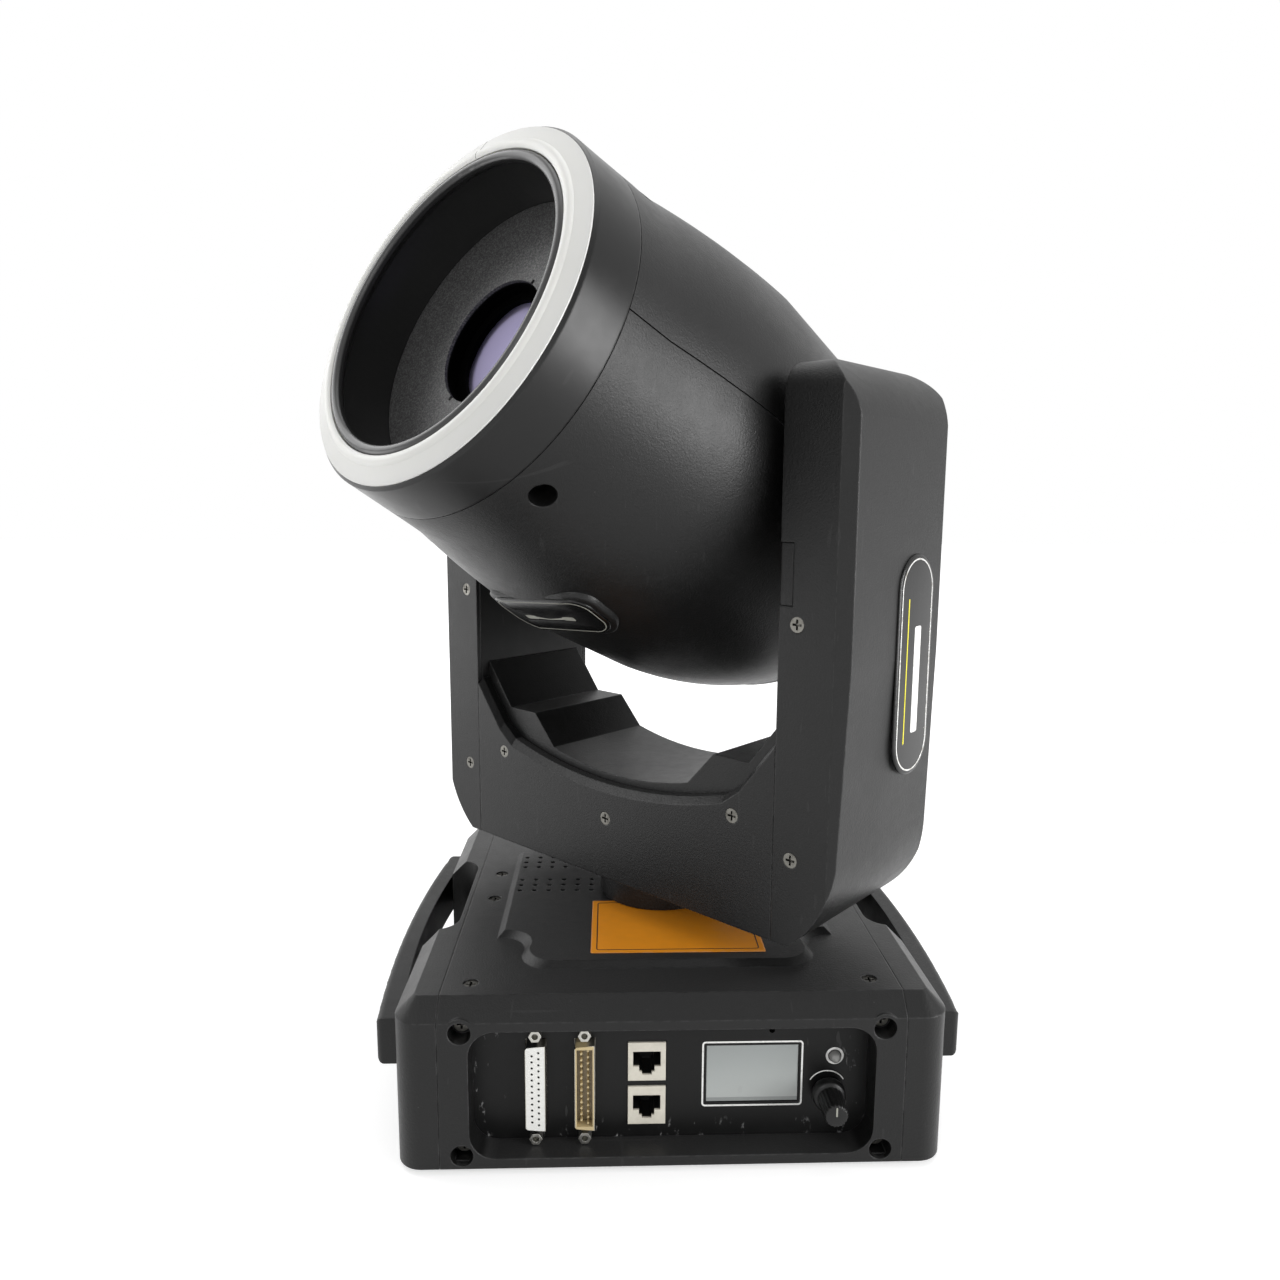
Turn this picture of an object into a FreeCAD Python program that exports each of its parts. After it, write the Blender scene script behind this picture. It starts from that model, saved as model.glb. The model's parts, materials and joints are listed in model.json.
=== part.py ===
import FreeCAD, Part
import math
import os
from FreeCAD import Vector as V

# Moving-head laser projector, in millimetres.
# Origin: middle of the clamp hole pattern on the underside of the bottom plate, on the pan axis.
# X right, Y away from the control panel, Z up. The head is panned and tilted as it was photographed.

# Clearances and walls
WALL = 2.5
FIT_GAP = 0.25
RUN_GAP = 0.05
PRESS_GAP = 0.02
SEAM_GAP = 0.15

# Base
BASE_WIDTH = 232.0
BASE_DEPTH = 222.0
BASE_HEIGHT = 73.5
COVER_WIDTH = 18.8
TOP_CHAMFER = 8.2
CORNER_R = 11.0
PLATE_T = 2.0
FOOT_R = 9.0
FOOT_T = 3.0
FOOT_INSET = 21.0
CLAMP_SPACING_X = 106.0
CLAMP_SPACING_Y = 130.0
CLAMP_HOLE_R = 3.25
PLATEAU_T = 2.5
PLATEAU_MARGIN = 18.2
PLATEAU_STEP = 27.0
PLATEAU_END_MARGIN = 29.0
PLATEAU_SHOULDER_L = 30.0
PLATEAU_SLOPE = 3.0
SHOULDER_BULGE = 0.13
VENT_R = 1.3
VENT_PITCH_X = 7.4
VENT_PITCH_Y = 6.8
VENT_ROWS = 3
VENT_EDGE = 6.0
VENT_COLLAR_GAP = 5.0
VENT_ROW_STARTS = (-4.0, 27.0)

# Screws
SCREW_HEAD_R = 3.2
SCREW_HEAD_T = 1.6
SCREW_R = 1.5
SCREW_L = 8.0
SCREW_SINK = 0.6
CROSS_REACH = 2.1
CROSS_W = 0.9
CROSS_DEPTH = 1.1
TOP_SCREW_MARGIN = 11.7
TOP_SCREW_END = 18.0
TOP_SCREW_YS = (-8.0, 24.0)

# Hand holds and grips at the sides
NOTCH_LENGTH = 86.0
NOTCH_DEPTH = 16.4
NOTCH_FLOOR = 20.0
NOTCH_R = 12.0
GRIP_LENGTH = 184.0
GRIP_STANDOFF = 10.5
GRIP_BOW = 5.5
GRIP_T = 9.5
GRIP_WEB = 2.0
GRIP_PAD = 20.0
GRIP_DROP = 16.5
GRIP_H = 21.0
GRIP_EDGE = 3.0

# Recessed connector panels, front and rear
RECESS_MARGIN = 12.5
RECESS_LOW = 4.3
RECESS_TOP_DROP = 12.2
RECESS_R = 11.0
RECESS_DEPTH = 13.0
RECESS_WALL = 2.2
PANEL_T = 2.0
PANEL_MARGIN = 4.2
PANEL_TOP_DROP = 7.5
PANEL_CORNER_R = 4.0
PANEL_SCREW_MARGIN = 9.2
PANEL_SCREW_LOW = 5.9
PANEL_SCREW_DROP = 12.7
PANEL_BORE_R = 4.75
PANEL_BORE_DEPTH = 9.0
PANEL_BOSS_WALL = 1.65

# Front panel fittings, spread along the recess with the free room between them in these shares
PANEL_GAPS = (20.6, 8.2, 12.1, 13.4, 1.15, 10.05)
DB_Z = 30.8
DB_SHELL_W = 8.4
DB_SHELL_H = 39.0
DB_SHELL_LEAN = 0.8
DB_PROUD = 5.8
DB_SCREW_SPACING = 47.04
DB_FLANGE_W = 12.6
DB_FLANGE_H = 53.0
DB_FLANGE_T = 1.0
DB_BODY_RIM = 1.0
DB_BODY_L = 8.0
DB_PIN_PITCH = 2.76
DB_ROW_PITCH = 2.84
DB_HOLE_R = 0.55
DB_HOLE_DEPTH = 4.0
DB_PIN_R = 0.5
DB_PIN_L = 5.0
DB_PIN_SINK = 1.0
DB_CAVITY_DEPTH = 5.0
DB_SIDE_WALL = 0.85
DB_END_WALL = 1.9
JACK_HEX = 4.8
JACK_PROUD = 5.2
JACK_BORE_R = 1.35
JACK_BORE_DEPTH = 4.0
RJ_W = 16.2
RJ_H = 17.6
RJ_CENTRES = (19.2, 39.5)
RJ_DEPTH = 18.0
RJ_PROUD = 0.6
RJ_CAVITY_DEPTH = 12.6
RJ_PLUG_W = 11.8
RJ_PLUG_HIGH = 4.6
RJ_PLUG_LOW = -2.2
RJ_NECK_W = 6.6
RJ_NECK_LOW = -4.6
RJ_LATCH_W = 4.2
RJ_LATCH_LOW = -6.0
LCD_Z = 32.9
LCD_WINDOW_W = 40.0
LCD_WINDOW_H = 26.4
LCD_RIM = 4.0
LCD_SINK = 0.4
LCD_BOARD_T = 5.0
LED_OFFSET = 3.1
LED_Z = 40.7
LED_R = 2.5
LED_PROUD = 0.8
LED_FLANGE = 0.5
LED_BODY_T = 3.0
MIC_OFFSET = 8.1
MIC_Z = 52.8
MIC_R = 1.2
KNOB_Z = 25.4
KNOB_SKIRT_R = 7.25
KNOB_SKIRT_DRAFT = 0.8
KNOB_SKIRT_T = 4.0
KNOB_GRIP_R = 5.55
KNOB_TIP_R = 4.7
KNOB_STANDOFF = 3.0
KNOB_L = 16.0
KNOB_CAP_T = 2.0
SHAFT_R = 3.0
SHAFT_TAIL = 4.0
PUSH_TRAVEL = 0.6
NECK_WALL = 0.5
ENCODER_SIZE = 12.0
ENCODER_T = 7.0

# Rear panel fittings
INLET_MARGIN = 29.7
INLET_Z = 20.0
INLET_W = 27.0
INLET_H = 19.6
INLET_L = 20.0
INLET_LIP = 2.0
INLET_MOUTH_W = 23.0
INLET_MOUTH_H = 15.0
INLET_MOUTH_R = 3.0
INLET_MOUTH_DEPTH = 14.0
INLET_PIN_W = 2.0
INLET_PIN_H = 4.0
INLET_PIN_SINK = 3.0
INLET_PIN_PITCH = 7.0
INLET_PIN_DROP = 1.0
INLET_PIN_RISE = 2.0
ROCKER_Z = 45.0
ROCKER_W = 19.0
ROCKER_H = 12.6
ROCKER_LEAN = 9.0
ROCKER_FRAME = 2.0
ROCKER_END_GAP = 1.0
ROCKER_SIDE_GAP = 0.5
ROCKER_WELL = 10.0
ROCKER_AXLE_R = 1.2
ROCKER_AXLE_SINK = 2.0
ROCKER_AXLE_BITE = 1.8
ROCKER_FACE = 6.0
ROCKER_DISH = 1.6
ROCKER_SHOULDER = 0.5
ROCKER_BACK = 4.0
XLR_MARGIN = 30.7
XLR_PITCH = 36.0
XLR_Z = 32.0
XLR_R = 11.5
XLR_L = 20.0
XLR_WALL = 2.0
XLR_WELL = 13.0
XLR_FLANGE_W = 26.0
XLR_FLANGE_H = 31.0
XLR_FLANGE_R = 2.0
XLR_FLANGE_T = 2.0
XLR_CONTACT_CIRCLE = 3.8
XLR_CONTACT_R = 1.2
XLR_PIN_SINK = 3.0

# Inside the base
SUPPLY_WALL_GAP = 5.2
SUPPLY_PULLEY_GAP = 15.0
SUPPLY_L = 90.0
SUPPLY_Y = 15.0
SUPPLY_H = 36.0
SUPPLY_SLOTS = 10
SUPPLY_SLOT_PITCH = 8.0
SUPPLY_SLOT_W = 4.0
SUPPLY_SLOT_DEPTH = 1.0
SUPPLY_SLOT_MARGIN = 6.0
TERMINAL_INSET = 4.0
TERMINAL_L = 8.0
TERMINAL_H = 10.0
BOARD_LEFT_GAP = 59.2
BOARD_RIGHT_GAP = 13.2
BOARD_PANEL_GAP = 20.0
BOARD_W = 34.0
BOARD_T = 1.6
BOARD_LEG = 4.0
BOARD_LEG_R = 3.0
BOARD_LEG_INSET = 4.0
CHIPS = 4
CHIP_SIZE = 14.0
CHIP_T = 2.4
CHIP_INSET = 10.0

# Pan drive
COLLAR_R = 31.0
COLLAR_GAP = 0.7
COLLAR_FLANGE_GAP = 0.2
PAN_SHAFT_R = 15.0
PAN_SHAFT_BORE = 10.0
PAN_SHAFT_CLEAR = 3.0
PAN_SHAFT_TAIL = 2.0
PAN_FLANGE_R = 28.0
PAN_FLANGE_T = 4.0
PAN_BEARING_R = 22.0
PAN_BEARING_T = 9.0
PAN_HOUSING_R = 27.0
PAN_HOUSING_H = 29.0
PAN_HOUSING_LIP = 1.0
HOUSING_FLANGE = 7.0
HOUSING_FLANGE_T = 4.0
PAN_PULLEY_R = 30.0
PAN_PULLEY_GAP = 2.0
DRIVE_PULLEY_R = 7.5
PULLEY_T = 9.0
BELT_T = 1.5
BELT_W = 7.0
BELT_GAP = 0.3
PAN_MOTOR_X = 58.0
PAN_MOTOR_GAP = 3.0
MOTOR_SIZE = 42.0
MOTOR_CHAMFER = 4.0
MOTOR_PILOT_R = 11.0
MOTOR_PILOT_T = 2.0
MOTOR_BORE_R = 2.5
MOTOR_BORE_DEPTH = 20.0
MOTOR_SHAFT_L = 18.0

# Yoke, with its heights counted from its underside
PAN_ANGLE = 44.16
TURRET_RISE = 17.3
YOKE_INNER = 97.5
YOKE_DEPTH = 82.3
ARM_WIDTH = 31.1
ARM_FACE_WIDTH = 25.6
ARM_BEVEL_Y = 4.2
ARM_FOOT_WIDTH = 7.5
ARM_FOOT_RISE = 42.0
ARM_TAPER = 2.4
ARM_TAPER_RISE = 120.0
ARM_HEIGHT = 237.7
ARM_CREASE_DROP = 32.0
ARM_TOP_WIDTH = 14.5
ARM_CORNER_R = 13.0
CROWN_BEND = 40.0
FRAME_T = 2.5
FRAME_FLOOR_T = 3.0
RIM_HEIGHT = 46.7
RIM_SAG = 10.5
RIM_SHOULDER_X = 70.0
RIM_END_RISE = 30.0
RIM_KNEE_X = 0.35
RIM_KNEE_Z = 0.24
RIM_T = 3.2
RIM_LIP = 7.6
RIM_BEVEL = 3.4
LINER_T = 2.8
LINER_RISE = 3.5
LINER_EDGE_X = 45.0
LINER_SAG = 6.0
LINER_STEP_X = 59.5
LINER_STEP_RISE = 16.0
LINER_STEP_END_X = 79.0
LINER_END_RISE = 23.5
LINER_SKIRT_T = 2.0
LINER_SKIRT_DROP = 6.0
ARM_SCREW_X = 106.0
ARM_SCREW_RISES = (37.7, 135.2)
BRIDGE_SCREW_X = 76.0
BRIDGE_SCREW_DROP = 7.5
BRIDGE_MID_SCREW_DROP = 16.4
LOCK_RISE = 142.5
LOCK_H = 24.8
LOCK_W = 5.6
LOCK_DEPTH = 10.0
LOCK_GAP = 0.3
LOCK_SINK = 0.2

# Tilt drive
TILT_ANGLE = 24.39
PIVOT_RISE = 198.2
TRUNNION_R = 10.0
TRUNNION_BORE = 6.0
TRUNNION_CLEAR = 3.0
TRUNNION_HUB_R = 15.0
TRUNNION_HUB_GAP = 0.3
TRUNNION_FLANGE_R = 19.0
TRUNNION_TAIL = 2.0
TILT_BEARING_R = 16.0
TILT_BEARING_T = 8.0
TILT_BEARING_SEAT = 1.0
TILT_BOSS_WALL = 4.0
TILT_PULLEY_R = 22.0
TILT_PULLEY_GAP = 12.0
TILT_MOTOR_RISE = 34.0
TILT_MOTOR_L = 37.0
TILT_MOTOR_HOLE_R = 12.0

# Head, measured along its axis from the tilt axis towards the exit
HEAD_FLAT_X = 92.5
SHELL_FRONT = 121.0
SHELL_FRONT_R = 79.3
SHELL_NECK = 100.0
SHELL_NECK_R = 81.6
SHELL_FLARE = 62.0
SHELL_FLARE_R = 89.8
SHELL_BELLY = 22.0
SHELL_BELLY_R = 95.2
SHELL_WAIST = -30.0
SHELL_TAPER = -62.0
SHELL_TAPER_R = 91.3
SHELL_REAR = -88.0
SHELL_REAR_R = 84.5
CAP_SHOULDER = -100.0
CAP_SHOULDER_R = 80.5
CAP_REAR = -112.0
CAP_REAR_R = 68.0
CAP_SPOKE_W = 4.0
CAP_SLOTS = 4
CAP_SLOT_W = 4.0
CAP_SLOT_PITCH = 7.0
CAP_SLOT_INSET = 2.0
BEZEL_L = 21.4
BEZEL_FRONT_R = 77.2
BEZEL_CHAMFER = 1.2
BEZEL_FACE_T = 3.0
HOOD_R = 63.4
HOOD_T = 1.2
LIP_R = 60.4
LIP_PROUD = 3.8
LIP_T = 3.0
LIP_BULGE = 1.2
LED_RING_R = 75.8
LED_RING_GAP = 0.2
LED_RING_T = 4.0
LED_CREST_SHARE = 0.2
LED_EDGE_T = 0.5
LED_BAND_SHARE = 0.6
LED_BAND_RISE = 0.7
LED_INNER_RISE = 0.8
BAFFLE_SINK = 25.4
BAFFLE_T = 3.0
APERTURE_R = 27.4
APERTURE_NOTCH = 1.8
APERTURE_NOTCH_ANGLE = 60.0
HOLDER_WALL = 5.0
HOLDER_LIP = 2.0
WINDOW_SINK = 13.0
WINDOW_T = 2.0
WINDOW_RIM = 0.4
WINDOW_RIM_GAP = 0.1
WINDOW_CLEAR_R = 25.0
STEP_SINK = 8.0
STEP_T = 2.0
STEP_R = 23.6
HEAD_SCREW_SINK = 13.5
HEAD_SCREW_ANGLE = 51.8
HEAD_SCREW_BORE_R = 5.4
HEAD_SCREW_FLOOR_R = 70.0
HEAD_BOSS_WALL = 1.6
HEAD_BOSS_FLOOR = 2.0
HEAD_BOSS_REACH = 30.0

# Inside the head
CHASSIS_T = 3.0
CHASSIS_FLOOR = -31.0
CHASSIS_HALF_W = 83.0
CHASSIS_SIDE_HALF_L = 40.0
CHASSIS_SIDE_TOP = 26.0
TRAY_HALF_W = 60.0
TRAY_FRONT = 86.0
TRAY_REAR = -75.0
LASER_W = 24.0
LASER_H = 22.0
LASER_L = 65.0
LASER_BACK = -68.0
LASER_PITCH = 30.0
LASER_COUNT = 3
FIN_SLOTS = 5
FIN_PITCH = 4.0
FIN_SLOT_W = 2.0
FIN_DEPTH = 7.0
FIN_FRONT_MARGIN = 6.0
FIN_REAR_MARGIN = 2.0
LASER_NOSE_R = 4.0
LASER_NOSE_L = 8.0
GALVO_R = 6.0
GALVO_STEM_R = 1.5
GALVO_STEM_L = 5.0
GALVO_MIRROR_GAP = 4.0
GALVO_FLOOR_T = 2.0
GALVO_WALL = 8.0
GALVO_MIRROR_T = 1.0
GALVO_MIRROR_ANGLE = 45.0
GALVO_DECK = -10.0
GALVO_FRONT_MARGIN = 12.0
X_GALVO_L = 54.0
X_GALVO_MIRROR_W = 7.0
X_GALVO_MIRROR_H = 10.0
Y_GALVO_L = 68.0
Y_GALVO_U = 2.0
Y_GALVO_X = 12.0
Y_GALVO_CASE_L = 24.0
Y_GALVO_HALF_T = 10.0
Y_GALVO_TOP = 12.0
Y_GALVO_MIRROR_W = 12.0
Y_GALVO_MIRROR_H = 9.0
Y_GALVO_MIRROR_BITE = 2.0
FAN_SIZE = 80.0
FAN_T = 15.0
FAN_CORNER_R = 5.0
FAN_BORE_R = 38.0
FAN_HUB_R = 13.0
FAN_BLADES = 7
FAN_BLADE_T = 1.4
FAN_BLADE_LEAN = 38.0
FAN_BLADE_INSET = 0.5
FAN_TIP_GAP = 1.0
FAN_END_GAP = 1.0
FAN_SPIDER_GAP = 0.3
FAN_SPIDER_T = 2.0
FAN_SPIDER_ARMS = 3
FAN_SPIDER_W = 3.0
FAN_SPIDER_TURN = 30.0
FAN_PIN_R = 1.5

# Places worked out from the sizes
HALF_W = BASE_WIDTH / 2
HALF_D = BASE_DEPTH / 2
SEAM_X = HALF_W - COVER_WIDTH
TOP_UNDER = BASE_HEIGHT - WALL
DECK = BASE_HEIGHT + PLATEAU_T
PLATEAU_HALF_W = SEAM_X - PLATEAU_MARGIN
PLATEAU_HALF_L = HALF_D - PLATEAU_END_MARGIN
GRIP_END_X = HALF_W + GRIP_STANDOFF
GRIP_HIGH = BASE_HEIGHT - GRIP_DROP
GRIP_LOW = GRIP_HIGH - GRIP_H
RECESS_HALF_W = SEAM_X - RECESS_MARGIN
RECESS_HIGH = BASE_HEIGHT - RECESS_TOP_DROP
PANEL_HALF_W = SEAM_X - PANEL_MARGIN
PANEL_HIGH = BASE_HEIGHT - PANEL_TOP_DROP
PANEL_SCREW_X = SEAM_X - PANEL_SCREW_MARGIN
PANEL_SCREW_HIGH = BASE_HEIGHT - PANEL_SCREW_DROP
PANEL_Y = HALF_D - RECESS_DEPTH
PANEL_BACK = PANEL_Y - PANEL_T
DB_FRONT = -PANEL_Y - DB_PROUD


def spread(widths, shares, start, length):
    """Middles of pieces in a row, with the room that they leave shared out between them."""
    unit = (length - sum(widths)) / sum(shares)
    middles = []
    here = start
    for width, share in zip(widths, shares):
        middles.append(here + share * unit + width / 2)
        here = middles[-1] + width / 2
    return middles


DB_FEMALE_X, DB_MALE_X, RJ_X, LCD_X, KNOB_X = spread(
    (DB_FLANGE_W, DB_FLANGE_W, RJ_W, LCD_WINDOW_W + 2 * LCD_RIM, 2 * KNOB_SKIRT_R), PANEL_GAPS,
    -RECESS_HALF_W, 2 * RECESS_HALF_W)
LED_X = KNOB_X + LED_OFFSET
MIC_X = LCD_X + MIC_OFFSET
INLET_X = INLET_MARGIN - RECESS_HALF_W
INLET_LOW = INLET_Z - INLET_H / 2
INLET_HIGH = ROCKER_Z + ROCKER_H / 2 + ROCKER_FRAME
ROCKER_AXLE_Y = PANEL_Y - ROCKER_AXLE_SINK
XLR_XS = (RECESS_HALF_W - XLR_MARGIN - XLR_PITCH, RECESS_HALF_W - XLR_MARGIN)
PAN_HOUSING_LOW = TOP_UNDER - PAN_HOUSING_H
PAN_PULLEY_LOW = PAN_HOUSING_LOW - PAN_PULLEY_GAP - PULLEY_T
YOKE_LOW = DECK + TURRET_RISE
YOKE_HALF = YOKE_DEPTH / 2
ARM_OUT = YOKE_INNER + ARM_WIDTH
ARM_TOP = YOKE_LOW + ARM_HEIGHT
ARM_CREASE = ARM_TOP - ARM_CREASE_DROP
FRAME_HALF = YOKE_HALF - WALL - FIT_GAP
RIM_MID = YOKE_LOW + RIM_HEIGHT
RIM_SHOULDER = RIM_MID + RIM_SAG
RIM_END = RIM_SHOULDER + RIM_END_RISE
LINER_MID = RIM_MID + LINER_RISE
LINER_EDGE = LINER_MID + LINER_SAG
LINER_STEP = LINER_EDGE + LINER_STEP_RISE
LINER_TOP = LINER_STEP + LINER_END_RISE
BRIDGE_SCREWS = ((-BRIDGE_SCREW_X, RIM_SHOULDER - BRIDGE_SCREW_DROP), (0, RIM_MID - BRIDGE_MID_SCREW_DROP),
                 (BRIDGE_SCREW_X, RIM_SHOULDER - BRIDGE_SCREW_DROP))
LOCK_LOW = YOKE_LOW + LOCK_RISE
LOCK_HIGH = LOCK_LOW + LOCK_H
PIVOT_Z = YOKE_LOW + PIVOT_RISE
TILT_MOTOR_Z = YOKE_LOW + TILT_MOTOR_RISE
TILT_BEARING_X = YOKE_INNER + FRAME_T + TILT_BEARING_SEAT
TILT_PULLEY_X = YOKE_INNER + FRAME_T + TILT_PULLEY_GAP
BEZEL_FRONT = SHELL_FRONT + BEZEL_L
LIP_FRONT = BEZEL_FRONT + LIP_PROUD
BAFFLE_FRONT = BEZEL_FRONT - BAFFLE_SINK
BAFFLE_BACK = BAFFLE_FRONT - BAFFLE_T
WINDOW_FRONT = BAFFLE_FRONT - WINDOW_SINK
WINDOW_BACK = WINDOW_FRONT - WINDOW_T
HOLDER_BACK = WINDOW_BACK - HOLDER_LIP
HOLDER_R = APERTURE_R + HOLDER_WALL
STEP_FRONT = BAFFLE_FRONT - STEP_SINK
HEAD_SCREW_L = SHELL_FRONT - HEAD_SCREW_SINK
FAN_REAR = CAP_REAR + WALL
FAN_FRONT = FAN_REAR + FAN_T
BIG = 1000.0
TINY = 1e-3

X_AXIS = V(1, 0, 0)
Y_AXIS = V(0, 1, 0)
Z_AXIS = V(0, 0, 1)


def box(x0, x1, y0, y1, z0, z1):
    return Part.makeBox(x1 - x0, y1 - y0, z1 - z0, V(x0, y0, z0))


def rod(r, start, axis, length):
    return Part.makeCylinder(r, length, start, axis)


def tube(r_out, r_in, start, axis, length):
    return rod(r_out, start, axis, length).cut(rod(r_in, start, axis, length))


def fuse(first, *others):
    return first.fuse(list(others)).removeSplitter()


def mirror_x(shape):
    return shape.mirror(V(0, 0, 0), X_AXIS)


def mirror_y(shape):
    return shape.mirror(V(0, 0, 0), Y_AXIS)


def outline(start, *steps):
    """Closed wire of straight runs and arcs; a step is a point or a (through, end) pair of points."""
    edges = []
    here = start
    for step in steps + (start,):
        if isinstance(step, tuple):
            edges.append(Part.Arc(here, step[0], step[1]).toShape())
            here = step[1]
        elif (step - here).Length > TINY:
            edges.append(Part.makeLine(here, step))
            here = step
    return Part.Wire(edges)


def prism(wire, travel):
    return Part.Face(wire).extrude(travel)


def rounded_rect(u0, u1, v0, v1, r, place):
    """Rectangle with round corners; place turns a (u, v) pair into a point."""
    k = r * (1 - math.sqrt(0.5))
    return outline(
        place(u0 + r, v0),
        place(u1 - r, v0), (place(u1 - k, v0 + k), place(u1, v0 + r)),
        place(u1, v1 - r), (place(u1 - k, v1 - k), place(u1 - r, v1)),
        place(u0 + r, v1), (place(u0 + k, v1 - k), place(u0, v1 - r)),
        place(u0, v0 + r), (place(u0 + k, v0 + k), place(u0 + r, v0)))


def upright_block(x0, x1, z0, z1, r, y0, y1):
    """Block along Y whose XZ section has round corners."""
    return prism(rounded_rect(x0, x1, z0, z1, r, lambda x, z: V(x, y0, z)), V(0, y1 - y0, 0))


def loop_band(centre_a, r_a, centre_b, r_b, axis, width):
    """Solid filling a belt loop's outline round two pulleys, extruded along the axis."""
    run = centre_b - centre_a
    ahead = V(run).normalize()
    side = axis.cross(ahead)
    lean = math.asin((r_a - r_b) / run.Length)
    up = ahead * math.sin(lean) + side * math.cos(lean)
    down = ahead * math.sin(lean) - side * math.cos(lean)
    wire = outline(
        centre_a + up * r_a, centre_b + up * r_b,
        (centre_b + ahead * r_b, centre_b + down * r_b),
        centre_a + down * r_a, (centre_a - ahead * r_a, centre_a + up * r_a))
    return prism(wire, axis * width)


def belt(centre_a, r_a, centre_b, r_b, axis):
    inner = loop_band(centre_a, r_a + BELT_GAP, centre_b, r_b + BELT_GAP, axis, BELT_W)
    outer = loop_band(centre_a, r_a + BELT_GAP + BELT_T, centre_b, r_b + BELT_GAP + BELT_T, axis, BELT_W)
    return outer.cut(inner)


def screw(point, inward):
    """Pan head screw whose head's top is at the point, with a cross recess."""
    shape = fuse(rod(SCREW_HEAD_R, point, inward, SCREW_HEAD_T), rod(SCREW_R, point, inward, SCREW_L))
    turn = FreeCAD.Rotation(Z_AXIS, inward)
    for angle in (0, 90):
        blade = box(-CROSS_REACH, CROSS_REACH, -CROSS_W / 2, CROSS_W / 2, -CROSS_DEPTH, CROSS_DEPTH)
        blade.Placement = FreeCAD.Placement(point, turn.multiply(FreeCAD.Rotation(Z_AXIS, angle)))
        shape = shape.cut(blade)
    return shape


def in_yoke(shape):
    moved = shape.copy()
    moved.rotate(V(0, 0, 0), Z_AXIS, -PAN_ANGLE)
    return moved


def in_head(shape):
    """From the head's own frame (tilt axis X, exit towards -Y) to the pose of the photograph."""
    moved = shape.copy()
    moved.rotate(V(0, 0, 0), X_AXIS, -TILT_ANGLE)
    moved.translate(V(0, 0, PIVOT_Z))
    return in_yoke(moved)


def save(name, shape, place=None):
    if place:
        shape = place(shape)
    shape.exportStep("parts/%s.step" % name)


# Base

def bottom_plate():
    inset = WALL + FIT_GAP
    edge = rounded_rect(-HALF_W + inset, HALF_W - inset, -HALF_D + inset, HALF_D - inset,
                        CORNER_R - WALL, lambda x, y: V(x, y, 0))
    plate = prism(edge, V(0, 0, PLATE_T))
    for sx in (-1, 1):
        for sy in (-1, 1):
            at = V(sx * CLAMP_SPACING_X / 2, sy * CLAMP_SPACING_Y / 2, 0)
            plate = plate.cut(rod(CLAMP_HOLE_R, at, Z_AXIS, PLATE_T))
    return plate


def rubber_feet():
    feet = []
    for sx in (-1, 1):
        for sy in (-1, 1):
            at = V(sx * (HALF_W - FOOT_INSET), sy * (HALF_D - FOOT_INSET), -FOOT_T)
            feet.append(rod(FOOT_R, at, Z_AXIS, FOOT_T))
    return Part.Compound(feet)


def shell_section(inset, drop):
    """Base section across Y and Z, with the top's front and rear edges chamfered."""
    half = HALF_D - inset
    top = BASE_HEIGHT - drop
    cut = TOP_CHAMFER - inset * (2 - math.sqrt(2))
    return [V(0, -half, 0), V(0, -half, top - cut), V(0, -half + cut, top),
            V(0, half - cut, top), V(0, half, top - cut), V(0, half, 0)]


def section_prism(points, x0, x1):
    wire = Part.makePolygon([p + V(x0, 0, 0) for p in points + points[:1]])
    return prism(wire, V(x1 - x0, 0, 0))


def plateau_wire(inset, z):
    """Raised panel on the base's top: wide in the middle, with S-shaped shoulders to narrow ends."""
    wide = PLATEAU_HALF_W - inset
    narrow = wide - PLATEAU_STEP
    end = PLATEAU_HALF_L - inset
    shoulder = end - PLATEAU_SHOULDER_L
    mid_x = (wide + narrow) / 2
    mid_y = (end + shoulder) / 2
    bulge_x = (wide - narrow) * SHOULDER_BULGE
    bulge_y = (end - shoulder) * SHOULDER_BULGE

    def corner(sx, sy, outward):
        a = V(sx * wide, sy * shoulder, z)
        m = V(sx * mid_x, sy * mid_y, z)
        b = V(sx * narrow, sy * end, z)
        first = V((a.x + m.x) / 2 - sx * bulge_x, (a.y + m.y) / 2 - sy * bulge_y, z)
        second = V((m.x + b.x) / 2 + sx * bulge_x, (m.y + b.y) / 2 + sy * bulge_y, z)
        return [(first, m), (second, b)] if outward else [(second, m), (first, a)]

    return outline(
        V(wide, -shoulder, z), V(wide, shoulder, z), *corner(1, 1, True),
        V(-narrow, end, z), *corner(-1, 1, False),
        V(-wide, -shoulder, z), *corner(-1, -1, True),
        V(narrow, -end, z), *corner(1, -1, False))


def panel_screw_places():
    return [(sx * PANEL_SCREW_X, z) for sx in (-1, 1) for z in (PANEL_SCREW_LOW, PANEL_SCREW_HIGH)]


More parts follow.
